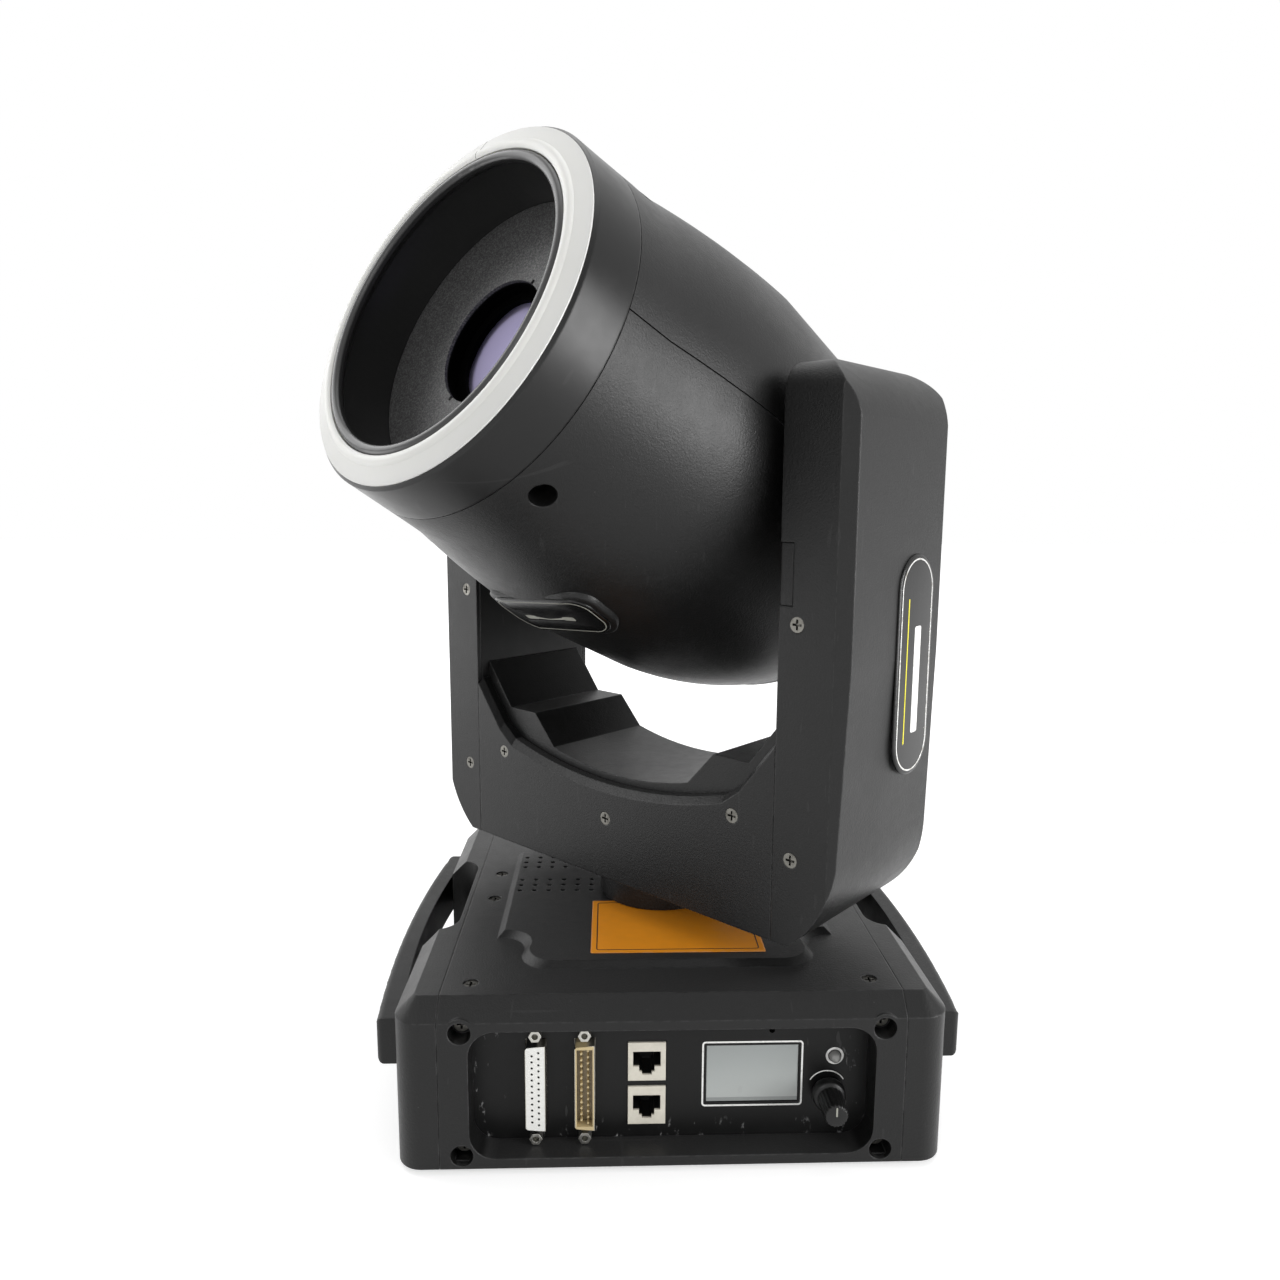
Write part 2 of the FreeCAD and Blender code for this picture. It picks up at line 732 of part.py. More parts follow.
def recess(shell):
    """Connector recess in the front wall, with sunk screw bosses beside its corners."""
    half = RECESS_HALF_W
    w = RECESS_WALL
    shell = fuse(shell, upright_block(-half - w, half + w, RECESS_LOW - w, RECESS_HIGH + w, RECESS_R + w,
                                      -HALF_D, -PANEL_Y))
    bosses = [rod(PANEL_BORE_R + PANEL_BOSS_WALL, V(x, -HALF_D, z), Y_AXIS, RECESS_DEPTH)
              for x, z in panel_screw_places()]
    floor = PLATE_T + FIT_GAP
    under = box(-SEAM_X, SEAM_X, -HALF_D + WALL, -PANEL_Y, -BIG, floor)
    shell = fuse(shell, *[b.cut(box(-BIG, BIG, -BIG, BIG, -BIG, 0)).cut(under) for b in bosses])
    shell = shell.cut(upright_block(-half, half, RECESS_LOW, RECESS_HIGH, RECESS_R, -HALF_D - 1, -PANEL_Y))
    for x, z in panel_screw_places():
        shell = shell.cut(rod(PANEL_BORE_R, V(x, -HALF_D - 1, z), Y_AXIS, PANEL_BORE_DEPTH + 1))
        shell = shell.cut(rod(SCREW_R + RUN_GAP, V(x, -HALF_D, z), Y_AXIS, RECESS_DEPTH))
    return shell


def top_screw_places():
    end = HALF_D - TOP_SCREW_END
    return [(sx * (SEAM_X - TOP_SCREW_MARGIN), y) for sx in (-1, 1) for y in (-end, *TOP_SCREW_YS, end)]


def vent_places():
    """Vent holes beside the collar, as many columns as the raised panel has room for."""
    last = PLATEAU_HALF_W - VENT_EDGE
    room = last - COLLAR_R - VENT_COLLAR_GAP
    columns = 1 + math.floor(room / VENT_PITCH_X + RUN_GAP)
    return [(sx * (last - column * VENT_PITCH_X), start + row * VENT_PITCH_Y)
            for sx in (-1, 1) for start in VENT_ROW_STARTS
            for row in range(VENT_ROWS) for column in range(columns)]


def base_shell():
    shell = section_prism(shell_section(0, 0), -SEAM_X, SEAM_X)
    shell = shell.cut(section_prism(shell_section(WALL, WALL), -SEAM_X, SEAM_X))
    edges = [plateau_wire(0, BASE_HEIGHT), plateau_wire(PLATEAU_SLOPE, DECK)]
    shell = fuse(shell, Part.makeLoft(edges, True, True))
    shell = mirror_y(recess(mirror_y(recess(shell))))
    through = WALL + PLATEAU_T
    shell = shell.cut(rod(PAN_SHAFT_R + PAN_SHAFT_CLEAR, V(0, 0, TOP_UNDER), Z_AXIS, through))
    shell = shell.cut([rod(VENT_R, V(x, y, TOP_UNDER), Z_AXIS, through) for x, y in vent_places()])
    seat = BASE_HEIGHT - SCREW_SINK - SCREW_HEAD_T
    for x, y in top_screw_places():
        shell = shell.cut(rod(SCREW_HEAD_R + RUN_GAP, V(x, y, seat), Z_AXIS, WALL))
        shell = shell.cut(rod(SCREW_R + RUN_GAP, V(x, y, TOP_UNDER), Z_AXIS, WALL))
    return shell


def cover_body(inset, inner_x, top):
    """Right side cover as a filled form: round vertical corners and a chamfered top edge."""
    out = HALF_W - inset
    half = HALF_D - inset
    r = CORNER_R - inset
    k = r * (1 - math.sqrt(0.5))
    wire = outline(
        V(inner_x, -half, 0), V(out - r, -half, 0), (V(out - k, -half + k, 0), V(out, -half + r, 0)),
        V(out, half - r, 0), (V(out - k, half - k, 0), V(out - r, half, 0)), V(inner_x, half, 0))
    body = prism(wire, V(0, 0, top))
    edges = [e for e in body.Edges
             if abs(e.CenterOfMass.z - top) < TINY and e.BoundBox.XMax > inner_x + TINY]
    return body.makeChamfer(TOP_CHAMFER - inset * (2 - math.sqrt(2)), edges)


def notch_block(grow):
    """Hand notch: open at the top and at the outer side."""
    inner = HALF_W - NOTCH_DEPTH - grow
    half = NOTCH_LENGTH / 2 + grow
    r = NOTCH_R + grow
    k = r * (1 - math.sqrt(0.5))
    z = NOTCH_FLOOR - grow
    wire = outline(
        V(BASE_WIDTH, -half, z), V(BASE_WIDTH, half, z), V(inner + r, half, z),
        (V(inner + k, half - k, z), V(inner, half - r, z)),
        V(inner, -half + r, z), (V(inner + k, -half + k, z), V(inner + r, -half, z)))
    return prism(wire, V(0, 0, BASE_HEIGHT))


def right_side_cover():
    inner_x = SEAM_X + SEAM_GAP
    full = cover_body(0, inner_x, BASE_HEIGHT)
    cover = full.cut(cover_body(WALL, inner_x - 1, BASE_HEIGHT - WALL))
    pocket = notch_block(RECESS_WALL).common(full)
    return fuse(cover, pocket).cut(notch_block(0))


def right_handle():
    """Bowed grip bar standing off the side cover on two end pads."""
    half = GRIP_LENGTH / 2
    pad = half - GRIP_PAD
    root = HALF_W + GRIP_WEB
    bow = GRIP_END_X + GRIP_BOW
    wire = outline(
        V(HALF_W, -half, GRIP_LOW), V(GRIP_END_X, -half, GRIP_LOW),
        (V(bow, 0, GRIP_LOW), V(GRIP_END_X, half, GRIP_LOW)),
        V(HALF_W, half, GRIP_LOW), V(HALF_W, pad, GRIP_LOW), V(root, pad, GRIP_LOW),
        (V(bow - GRIP_T, 0, GRIP_LOW), V(root, -pad, GRIP_LOW)),
        V(HALF_W, -pad, GRIP_LOW))
    bar = prism(wire, V(0, 0, GRIP_H))
    edges = [e for e in bar.Edges if e.BoundBox.XMax > GRIP_END_X + GRIP_BOW / 2]
    edges += [e for e in bar.Edges if e.BoundBox.XMin > GRIP_END_X - TINY and e.BoundBox.ZLength > TINY]
    return bar.makeFillet(GRIP_EDGE, edges)


def connector_plate():
    plate = upright_block(-PANEL_HALF_W, PANEL_HALF_W, PLATE_T + FIT_GAP, PANEL_HIGH, PANEL_CORNER_R,
                          -PANEL_Y, -PANEL_BACK)
    for x, z in panel_screw_places():
        plate = plate.cut(rod(SCREW_R + RUN_GAP, V(x, -PANEL_Y, z), Y_AXIS, PANEL_T))
    return plate


def through_panel(x, z, w, h, r):
    return upright_block(x - w / 2, x + w / 2, z - h / 2, z + h / 2, r, -PANEL_Y - 1, -PANEL_BACK + 1)


def jack_places():
    return [(x, DB_Z + s * DB_SCREW_SPACING / 2) for x in (DB_FEMALE_X, DB_MALE_X) for s in (-1, 1)]


def control_panel():
    plate = connector_plate()
    gap = 2 * FIT_GAP
    for x in (DB_FEMALE_X, DB_MALE_X):
        plate = plate.cut(through_panel(x, DB_Z, DB_SHELL_W + gap, DB_SHELL_H + gap, FIT_GAP))
    for z in RJ_CENTRES:
        plate = plate.cut(through_panel(RJ_X, z, RJ_W + gap, RJ_H + gap, FIT_GAP))
    plate = plate.cut(through_panel(LCD_X, LCD_Z, LCD_WINDOW_W, LCD_WINDOW_H, FIT_GAP))
    holes = [(LED_X, LED_Z, LED_R + RUN_GAP), (MIC_X, MIC_Z, MIC_R),
             (KNOB_X, KNOB_Z, SHAFT_R + RUN_GAP + NECK_WALL + RUN_GAP)]
    holes += [(x, z, SCREW_R + RUN_GAP) for x, z in jack_places()]
    for x, z, r in holes:
        plate = plate.cut(rod(r, V(x, -PANEL_Y, z), Y_AXIS, PANEL_T))
    return plate


def db25_holes(x, face_y, depth, r):
    """Two rows of contacts, thirteen and twelve, along the connector's height."""
    rods = []
    for count, side in ((13, 1), (12, -1)):
        for k in range(count):
            z = DB_Z + (k - (count - 1) / 2) * DB_PIN_PITCH
            rods.append(rod(r, V(x + side * DB_ROW_PITCH / 2, face_y, z), Y_AXIS, depth))
    return rods


def db25_shell(x):
    w = DB_SHELL_W / 2
    h = DB_SHELL_H / 2
    lean = DB_SHELL_LEAN
    wire = outline(V(x - w, DB_FRONT, DB_Z - h + lean * 2), V(x - w, DB_FRONT, DB_Z + h - lean * 2),
                   V(x - w + lean, DB_FRONT, DB_Z + h - lean), V(x + w, DB_FRONT, DB_Z + h),
                   V(x + w, DB_FRONT, DB_Z - h), V(x - w + lean, DB_FRONT, DB_Z - h + lean))
    shell = prism(wire, V(0, DB_PROUD + PANEL_T, 0))
    back = DB_FLANGE_T - PANEL_BACK
    flange = box(x - DB_FLANGE_W / 2, x + DB_FLANGE_W / 2, -PANEL_BACK, back,
                 DB_Z - DB_FLANGE_H / 2, DB_Z + DB_FLANGE_H / 2)
    w += DB_BODY_RIM
    h += DB_BODY_RIM
    body = box(x - w, x + w, back, back + DB_BODY_L, DB_Z - h, DB_Z + h)
    shape = fuse(shell, flange, body)
    for at_x, z in jack_places():
        if at_x == x:
            shape = shape.cut(rod(SCREW_R + RUN_GAP, V(x, -PANEL_BACK, z), Y_AXIS, DB_FLANGE_T))
    return shape


def db25_female():
    return db25_shell(DB_FEMALE_X).cut(db25_holes(DB_FEMALE_X, DB_FRONT, DB_HOLE_DEPTH, DB_HOLE_R))


def db25_male():
    w = DB_SHELL_W / 2 - DB_SIDE_WALL
    h = DB_SHELL_H / 2 - DB_END_WALL
    cavity = box(DB_MALE_X - w, DB_MALE_X + w, DB_FRONT, DB_FRONT + DB_CAVITY_DEPTH, DB_Z - h, DB_Z + h)
    pins = db25_holes(DB_MALE_X, DB_FRONT + DB_PIN_SINK, DB_PIN_L, DB_PIN_R)
    return fuse(db25_shell(DB_MALE_X).cut(cavity), *pins)


def rj45_jacks():
    """Two network jacks, each with a stepped mouth for the plug, its neck and its latch."""
    steps = ((RJ_PLUG_W, RJ_PLUG_LOW, RJ_PLUG_HIGH), (RJ_NECK_W, RJ_NECK_LOW, RJ_PLUG_LOW + FIT_GAP),
             (RJ_LATCH_W, RJ_LATCH_LOW, RJ_NECK_LOW + FIT_GAP))
    jacks = []
    front = -PANEL_Y - RJ_PROUD
    for z in RJ_CENTRES:
        jack = box(RJ_X - RJ_W / 2, RJ_X + RJ_W / 2, front, front + RJ_DEPTH, z - RJ_H / 2, z + RJ_H / 2)
        for w, low, high in steps:
            mouth = box(RJ_X - w / 2, RJ_X + w / 2, front, front + RJ_CAVITY_DEPTH, z + low, z + high)
            jack = jack.cut(mouth)
        jacks.append(jack)
    return Part.Compound(jacks)


def lcd_module():
    w = LCD_WINDOW_W / 2
    h = LCD_WINDOW_H / 2
    glass = box(LCD_X - w + FIT_GAP, LCD_X + w - FIT_GAP, -PANEL_Y + LCD_SINK, -PANEL_BACK,
                LCD_Z - h + FIT_GAP, LCD_Z + h - FIT_GAP)
    board = box(LCD_X - w - LCD_RIM, LCD_X + w + LCD_RIM, -PANEL_BACK, -PANEL_BACK + LCD_BOARD_T,
                LCD_Z - h - LCD_RIM, LCD_Z + h + LCD_RIM)
    return fuse(glass, board)


def status_led():
    root = V(LED_X, -PANEL_Y - LED_PROUD, LED_Z)
    lens = rod(LED_R, root, Y_AXIS, LED_PROUD + PANEL_T)
    dome = Part.makeSphere(LED_R, root).common(box(-BIG, BIG, -BIG, root.y, -BIG, BIG))
    return fuse(lens, dome, rod(LED_R + LED_FLANGE, V(LED_X, -PANEL_BACK, LED_Z), Y_AXIS, LED_BODY_T))


def encoder_body():
    half = ENCODER_SIZE / 2
    body = box(KNOB_X - half, KNOB_X + half, -PANEL_BACK, -PANEL_BACK + ENCODER_T,
               KNOB_Z - half, KNOB_Z + half)
    neck_l = KNOB_STANDOFF - 2 * PUSH_TRAVEL
    neck_r = SHAFT_R + RUN_GAP + NECK_WALL
    neck = rod(neck_r, V(KNOB_X, -PANEL_Y - neck_l, KNOB_Z), Y_AXIS, neck_l + PANEL_T)
    floor = -PANEL_BACK + SHAFT_TAIL + 1.5 * PUSH_TRAVEL
    bore = rod(SHAFT_R + RUN_GAP, V(KNOB_X, -BIG, KNOB_Z), Y_AXIS, BIG + floor)
    return fuse(body, neck).cut(bore)


def encoder_shaft():
    start = -PANEL_Y - KNOB_STANDOFF - KNOB_L + KNOB_CAP_T
    return rod(SHAFT_R, V(KNOB_X, start, KNOB_Z), Y_AXIS, -PANEL_BACK + SHAFT_TAIL - start)


def func_knob():
    """Skirted knob with a tapered grip."""
    back = V(KNOB_X, -PANEL_Y - KNOB_STANDOFF, KNOB_Z)
    shoulder = back - Y_AXIS * KNOB_SKIRT_T
    skirt = Part.makeCone(KNOB_SKIRT_R, KNOB_SKIRT_R - KNOB_SKIRT_DRAFT, KNOB_SKIRT_T, back, -Y_AXIS)
    grip = Part.makeCone(KNOB_GRIP_R, KNOB_TIP_R, KNOB_L - KNOB_SKIRT_T, shoulder, -Y_AXIS)
    bore_l = KNOB_L - KNOB_CAP_T + RUN_GAP
    return fuse(skirt, grip).cut(rod(SHAFT_R + RUN_GAP, back, -Y_AXIS, bore_l))


def rear_panel():
    plate = mirror_y(connector_plate())
    half = INLET_W / 2 + FIT_GAP
    plate = plate.cut(box(INLET_X - half, INLET_X + half, PANEL_BACK, PANEL_Y,
                          INLET_LOW - FIT_GAP, INLET_HIGH + FIT_GAP))
    for x in XLR_XS:
        plate = plate.cut(rod(XLR_R + FIT_GAP, V(x, PANEL_BACK, XLR_Z), Y_AXIS, PANEL_T))
    return plate


def mains_inlet():
    """Mains inlet with the switch's frame above it in one moulding."""
    half = INLET_W / 2
    lip = INLET_LIP
    face = PANEL_Y + lip
    body = box(INLET_X - half, INLET_X + half, PANEL_Y - INLET_L, PANEL_Y, INLET_LOW, INLET_HIGH)
    flange = box(INLET_X - half - lip, INLET_X + half + lip, PANEL_Y, face,
                 INLET_LOW - lip, INLET_HIGH + lip)
    mouth_floor = PANEL_Y - INLET_MOUTH_DEPTH
    mouth = upright_block(INLET_X - INLET_MOUTH_W / 2, INLET_X + INLET_MOUTH_W / 2,
                          INLET_Z - INLET_MOUTH_H / 2, INLET_Z + INLET_MOUTH_H / 2, INLET_MOUTH_R,
                          mouth_floor, face)
    shape = fuse(body, flange).cut(mouth)
    w = INLET_PIN_W / 2
    h = INLET_PIN_H / 2
    for side, rise in ((-1, -INLET_PIN_DROP), (0, INLET_PIN_RISE), (1, -INLET_PIN_DROP)):
        x = INLET_X + side * INLET_PIN_PITCH
        z = INLET_Z + rise
        shape = fuse(shape, box(x - w, x + w, mouth_floor - lip, PANEL_Y - INLET_PIN_SINK, z - h, z + h))
    side = ROCKER_W / 2 + ROCKER_SIDE_GAP
    room = ROCKER_H / 2 + ROCKER_END_GAP
    well = box(INLET_X - side, INLET_X + side, PANEL_Y - ROCKER_WELL, face, ROCKER_Z - room, ROCKER_Z + room)
    reach = ROCKER_W / 2 + ROCKER_AXLE_BITE + FIT_GAP
    axle = rod(ROCKER_AXLE_R + RUN_GAP, V(INLET_X - reach, ROCKER_AXLE_Y, ROCKER_Z), X_AXIS, 2 * reach)
    return shape.cut(well).cut(axle)


def power_rocker():
    """Rocker paddle with a dished face, leaning to its on side, on a cross axle."""
    h = ROCKER_H / 2
    x0 = INLET_X - ROCKER_W / 2
    bend = math.radians(50)
    back_bend = ROCKER_BACK * math.cos(bend)
    tip = V(x0, -ROCKER_BACK, 0)
    wire = outline(tip, (V(x0, -back_bend, h * math.sin(bend)), V(x0, ROCKER_SHOULDER, h)),
                   V(x0, ROCKER_FACE, h), (V(x0, ROCKER_FACE - ROCKER_DISH, 0), V(x0, ROCKER_FACE, -h)),
                   V(x0, ROCKER_SHOULDER, -h), (V(x0, -back_bend, -h * math.sin(bend)), tip))
    reach = ROCKER_W / 2 + ROCKER_AXLE_BITE
    axle = rod(ROCKER_AXLE_R, V(INLET_X - reach, 0, 0), X_AXIS, 2 * reach)
    paddle = fuse(prism(wire, V(ROCKER_W, 0, 0)), axle)
    paddle.rotate(V(0, 0, 0), X_AXIS, ROCKER_LEAN)
    paddle.translate(V(0, ROCKER_AXLE_Y, ROCKER_Z))
    return paddle


def dmx_sockets():
    """Two round three-pole data sockets: one with pins, one with holes."""
    sockets = []
    well_floor = PANEL_Y - XLR_WELL
    face = PANEL_Y + XLR_FLANGE_T
    w = XLR_FLANGE_W / 2
    h = XLR_FLANGE_H / 2
    for x, has_pins in zip(XLR_XS, (True, False)):
        barrel = rod(XLR_R, V(x, PANEL_Y - XLR_L, XLR_Z), Y_AXIS, XLR_L)
        flange = upright_block(x - w, x + w, XLR_Z - h, XLR_Z + h, XLR_FLANGE_R, PANEL_Y, face)
        socket = fuse(barrel, flange)
        contacts = []
        end = PANEL_Y - XLR_PIN_SINK if has_pins else face
        for angle in (90, 210, 330):
            a = math.radians(angle)
            at = V(x + XLR_CONTACT_CIRCLE * math.cos(a), well_floor - XLR_CONTACT_R,
                   XLR_Z + XLR_CONTACT_CIRCLE * math.sin(a))
            contacts.append(rod(XLR_CONTACT_R, at, Y_AXIS, end - at.y))
        if has_pins:
            well = rod(XLR_R - XLR_WALL, V(x, well_floor, XLR_Z), Y_AXIS, face - well_floor)
            socket = fuse(socket.cut(well), *contacts)
        else:
            socket = socket.cut(contacts)
        sockets.append(socket)
    return Part.Compound(sockets)


def base_screws():
    screws = [screw(V(x, y, BASE_HEIGHT - SCREW_SINK), -Z_AXIS) for x, y in top_screw_places()]
    for x, z in panel_screw_places():
        for s in (-1, 1):
            screws.append(screw(V(x, s * (HALF_D - PANEL_BORE_DEPTH + SCREW_HEAD_T), z), V(0, -s, 0)))
    front = -PANEL_Y - JACK_PROUD
    reach = JACK_HEX / 2 / math.cos(math.radians(30))
    for x, z in jack_places():
        corners = [math.radians(60 * k) for k in range(7)]
        ring = [V(x + reach * math.cos(a), front, z + reach * math.sin(a)) for a in corners]
        post = prism(Part.makePolygon(ring), V(0, JACK_PROUD, 0))
        post = fuse(post, rod(SCREW_R, V(x, -PANEL_Y, z), Y_AXIS, PANEL_T + DB_FLANGE_T))
        screws.append(post.cut(rod(JACK_BORE_R, V(x, front, z), Y_AXIS, JACK_BORE_DEPTH)))
    return Part.Compound(screws)


def power_supply():
    left = SUPPLY_WALL_GAP - SEAM_X
    right = -PAN_PULLEY_R - SUPPLY_PULLEY_GAP
    front = SUPPLY_Y - SUPPLY_L / 2
    rear = SUPPLY_Y + SUPPLY_L / 2
    case = box(left, right, front, rear, PLATE_T, PLATE_T + SUPPLY_H)
    low = PLATE_T + SUPPLY_SLOT_MARGIN
    high = PLATE_T + SUPPLY_H - SUPPLY_SLOT_MARGIN
    for k in range(SUPPLY_SLOTS):
        y = front + SUPPLY_SLOT_MARGIN + k * SUPPLY_SLOT_PITCH
        case = case.cut(box(left, left + SUPPLY_SLOT_DEPTH, y, y + SUPPLY_SLOT_W, low, high))
    base = PLATE_T + TERMINAL_INSET
    terminals = box(left + TERMINAL_INSET, right - TERMINAL_INSET, rear, rear + TERMINAL_L,
                    base, base + TERMINAL_H)
    return fuse(case, terminals)


def main_board():
    """Control board on four legs behind the front panel, with a row of chips."""
    left = BOARD_LEFT_GAP - SEAM_X
    right = SEAM_X - BOARD_RIGHT_GAP
    front = BOARD_PANEL_GAP - PANEL_BACK
    rear = front + BOARD_W
    low = PLATE_T + BOARD_LEG
    top = low + BOARD_T
    inset = BOARD_LEG_INSET
    shape = box(left, right, front, rear, low, top)
    for x in (left + inset, right - inset):
        for y in (front + inset, rear - inset):
            shape = fuse(shape, rod(BOARD_LEG_R, V(x, y, PLATE_T), Z_AXIS, BOARD_LEG))
    room = (right - left - CHIPS * CHIP_SIZE) / (CHIPS + 1)
    for k in range(CHIPS):
        x = left + room + k * (CHIP_SIZE + room)
        y = front + CHIP_INSET
        shape = fuse(shape, box(x, x + CHIP_SIZE, y, y + CHIP_SIZE, top, top + CHIP_T))
    return shape


def pan_motor():
    half = MOTOR_SIZE / 2
    low = PAN_PULLEY_LOW + PULLEY_T + PAN_MOTOR_GAP
    body = box(PAN_MOTOR_X - half, PAN_MOTOR_X + half, -half, half, low, TOP_UNDER)
    body = body.makeChamfer(MOTOR_CHAMFER, [e for e in body.Edges if e.BoundBox.ZLength > TINY])
    face = V(PAN_MOTOR_X, 0, low - MOTOR_PILOT_T)
    pilot = rod(MOTOR_PILOT_R, face, Z_AXIS, MOTOR_PILOT_T)
    return fuse(body, pilot).cut(rod(MOTOR_BORE_R + RUN_GAP, face, Z_AXIS, MOTOR_BORE_DEPTH))


def pan_drive_pulley():
    at = V(PAN_MOTOR_X, 0, PAN_PULLEY_LOW)
    wheel = rod(DRIVE_PULLEY_R, at, Z_AXIS, PULLEY_T)
    return fuse(wheel, rod(MOTOR_BORE_R, at, Z_AXIS, PULLEY_T + MOTOR_SHAFT_L))


def pan_belt():
    z = PAN_PULLEY_LOW + (PULLEY_T - BELT_W) / 2
    return belt(V(0, 0, z), PAN_PULLEY_R, V(PAN_MOTOR_X, 0, z), DRIVE_PULLEY_R, Z_AXIS)


def bearing_lows():
    top = TOP_UNDER - HOUSING_FLANGE_T
    return (PAN_HOUSING_LOW + PAN_HOUSING_LIP, top - PAN_BEARING_T)


def pan_bearing_housing():
    low = PAN_HOUSING_LOW
    shelf = TOP_UNDER - HOUSING_FLANGE_T
    seat = low + PAN_HOUSING_LIP
    barrel = rod(PAN_HOUSING_R, V(0, 0, low), Z_AXIS, PAN_HOUSING_H)
    flange = rod(PAN_HOUSING_R + HOUSING_FLANGE, V(0, 0, shelf), Z_AXIS, HOUSING_FLANGE_T)
    bore = rod(PAN_BEARING_R, V(0, 0, seat), Z_AXIS, shelf - seat)
    clear = rod(PAN_SHAFT_R + PAN_SHAFT_CLEAR, V(0, 0, low), Z_AXIS, PAN_HOUSING_H)
    return fuse(barrel, flange).cut(bore).cut(clear)


def pan_bearings():
    r = PAN_BEARING_R - PRESS_GAP
    bore = PAN_SHAFT_R + RUN_GAP
    return Part.Compound([tube(r, bore, V(0, 0, z), Z_AXIS, PAN_BEARING_T) for z in bearing_lows()])


# Yoke, in its own frame: arms along X, front towards -Y

def pan_shaft():
    low = PAN_PULLEY_LOW - PAN_SHAFT_TAIL
    stem = rod(PAN_SHAFT_R, V(0, 0, low), Z_AXIS, YOKE_LOW - low)
    flange = rod(PAN_FLANGE_R, V(0, 0, YOKE_LOW - PAN_FLANGE_T), Z_AXIS, PAN_FLANGE_T)
    return fuse(stem, flange).cut(rod(PAN_SHAFT_BORE, V(0, 0, low), Z_AXIS, BIG))


def pan_pulley():
    return tube(PAN_PULLEY_R, PAN_SHAFT_R + PRESS_GAP, V(0, 0, PAN_PULLEY_LOW), Z_AXIS, PULLEY_T)


def turret_collar():
    low = DECK + COLLAR_GAP
    return tube(COLLAR_R, PAN_FLANGE_R + COLLAR_FLANGE_GAP, V(0, 0, low), Z_AXIS, YOKE_LOW - low)


def arm_side_wire(x, half, low, top, r):
    k = r * (1 - math.sqrt(0.5))
    return outline(V(x, -half, low), V(x, half, low), V(x, half, top - r),
                   (V(x, half - k, top - k), V(x, half - r, top)), V(x, -half + r, top),
                   (V(x, -half + k, top - k), V(x, -half, top - r)))


def arm_front_wire(inset, inner, y):
    """Arm from the front: straight inside, a bent foot, a slight taper and a rounded crown outside."""
    out = ARM_OUT - inset
    low = YOKE_LOW + inset
    top = ARM_TOP - inset
    foot = YOKE_INNER + ARM_FOOT_WIDTH - inset * 0.6
    heel_x = out - ARM_TAPER
    heel = YOKE_LOW + ARM_FOOT_RISE
    width = heel_x - foot
    rise = heel - low
    bend_r = (width * width + rise * rise) / (2 * width)
    half_turn = math.asin(rise / bend_r) / 2
    foot_bend = V(heel_x - bend_r + bend_r * math.cos(half_turn), y, heel - bend_r * math.sin(half_turn))
    crown = YOKE_INNER + ARM_TOP_WIDTH - inset * 0.4
    bend = math.radians(CROWN_BEND)
    crown_bend = V(crown + (out - crown) * math.cos(bend), y,
                   ARM_CREASE + (top - ARM_CREASE) * math.sin(bend))
    return outline(V(inner, y, low), V(foot, y, low), (foot_bend, V(heel_x, y, heel)),
                   V(out, y, YOKE_LOW + ARM_TAPER_RISE), V(out, y, ARM_CREASE),
                   (crown_bend, V(crown, y, top)), V(inner, y, top))


def arm_plan_wire(inset, inner):
    out = ARM_OUT - inset
    half = YOKE_HALF - inset
    face = YOKE_INNER + ARM_FACE_WIDTH - inset * 0.3
    edge = YOKE_HALF - ARM_BEVEL_Y - inset * 0.5
    return outline(V(inner, -half, 0), V(face, -half, 0), V(out, -edge, 0), V(out, edge, 0),
                   V(face, half, 0), V(inner, half, 0))


def arm_body(inset, inner):
    front = prism(arm_front_wire(inset, inner, -YOKE_DEPTH), V(0, 2 * YOKE_DEPTH, 0))
    side_wire = arm_side_wire(0, YOKE_HALF - inset, YOKE_LOW + inset, ARM_TOP - inset,
                              ARM_CORNER_R - inset)
    side = prism(side_wire, V(2 * ARM_OUT, 0, 0))
    plan = prism(arm_plan_wire(inset, inner), V(0, 0, 2 * ARM_TOP))
    return front.common(side).common(plan)


def arm_screw_points():
    return [(ARM_SCREW_X, s * YOKE_HALF, YOKE_LOW + rise, s) for s in (-1, 1) for rise in ARM_SCREW_RISES]


def arm_cover():
    """Right arm's outer cover, open towards the frame plate that closes it."""
    cover = arm_body(0, YOKE_INNER).cut(arm_body(WALL, YOKE_INNER - 1))
    inside = YOKE_INNER + FRAME_T + FIT_GAP
    cover = cover.cut(box(YOKE_INNER - 1, inside, -FRAME_HALF - FIT_GAP, FRAME_HALF + FIT_GAP,
                          YOKE_LOW - 1, YOKE_LOW + FRAME_FLOOR_T + FIT_GAP))
    for x, y, z, s in arm_screw_points():
        cover = cover.cut(rod(SCREW_HEAD_R + RUN_GAP, V(x, y + s, z), V(0, -s, 0), 1 + SCREW_HEAD_T))
        cover = cover.cut(rod(SCREW_R + RUN_GAP, V(x, y, z), V(0, -s, 0), WALL))
    return cover


def lock_slot():
    return box(YOKE_INNER - 1, YOKE_INNER + LOCK_W + 2 * LOCK_GAP,
               -YOKE_HALF - 1, -YOKE_HALF + LOCK_DEPTH + LOCK_GAP, LOCK_LOW - LOCK_GAP, LOCK_HIGH + LOCK_GAP)


def tilt_lock():
    """Small bolt in the right arm's front edge that slides towards the head."""
    inner = YOKE_INNER + LOCK_GAP
    return box(inner, inner + LOCK_W, -YOKE_HALF + LOCK_SINK, -YOKE_HALF + LOCK_DEPTH, LOCK_LOW, LOCK_HIGH)


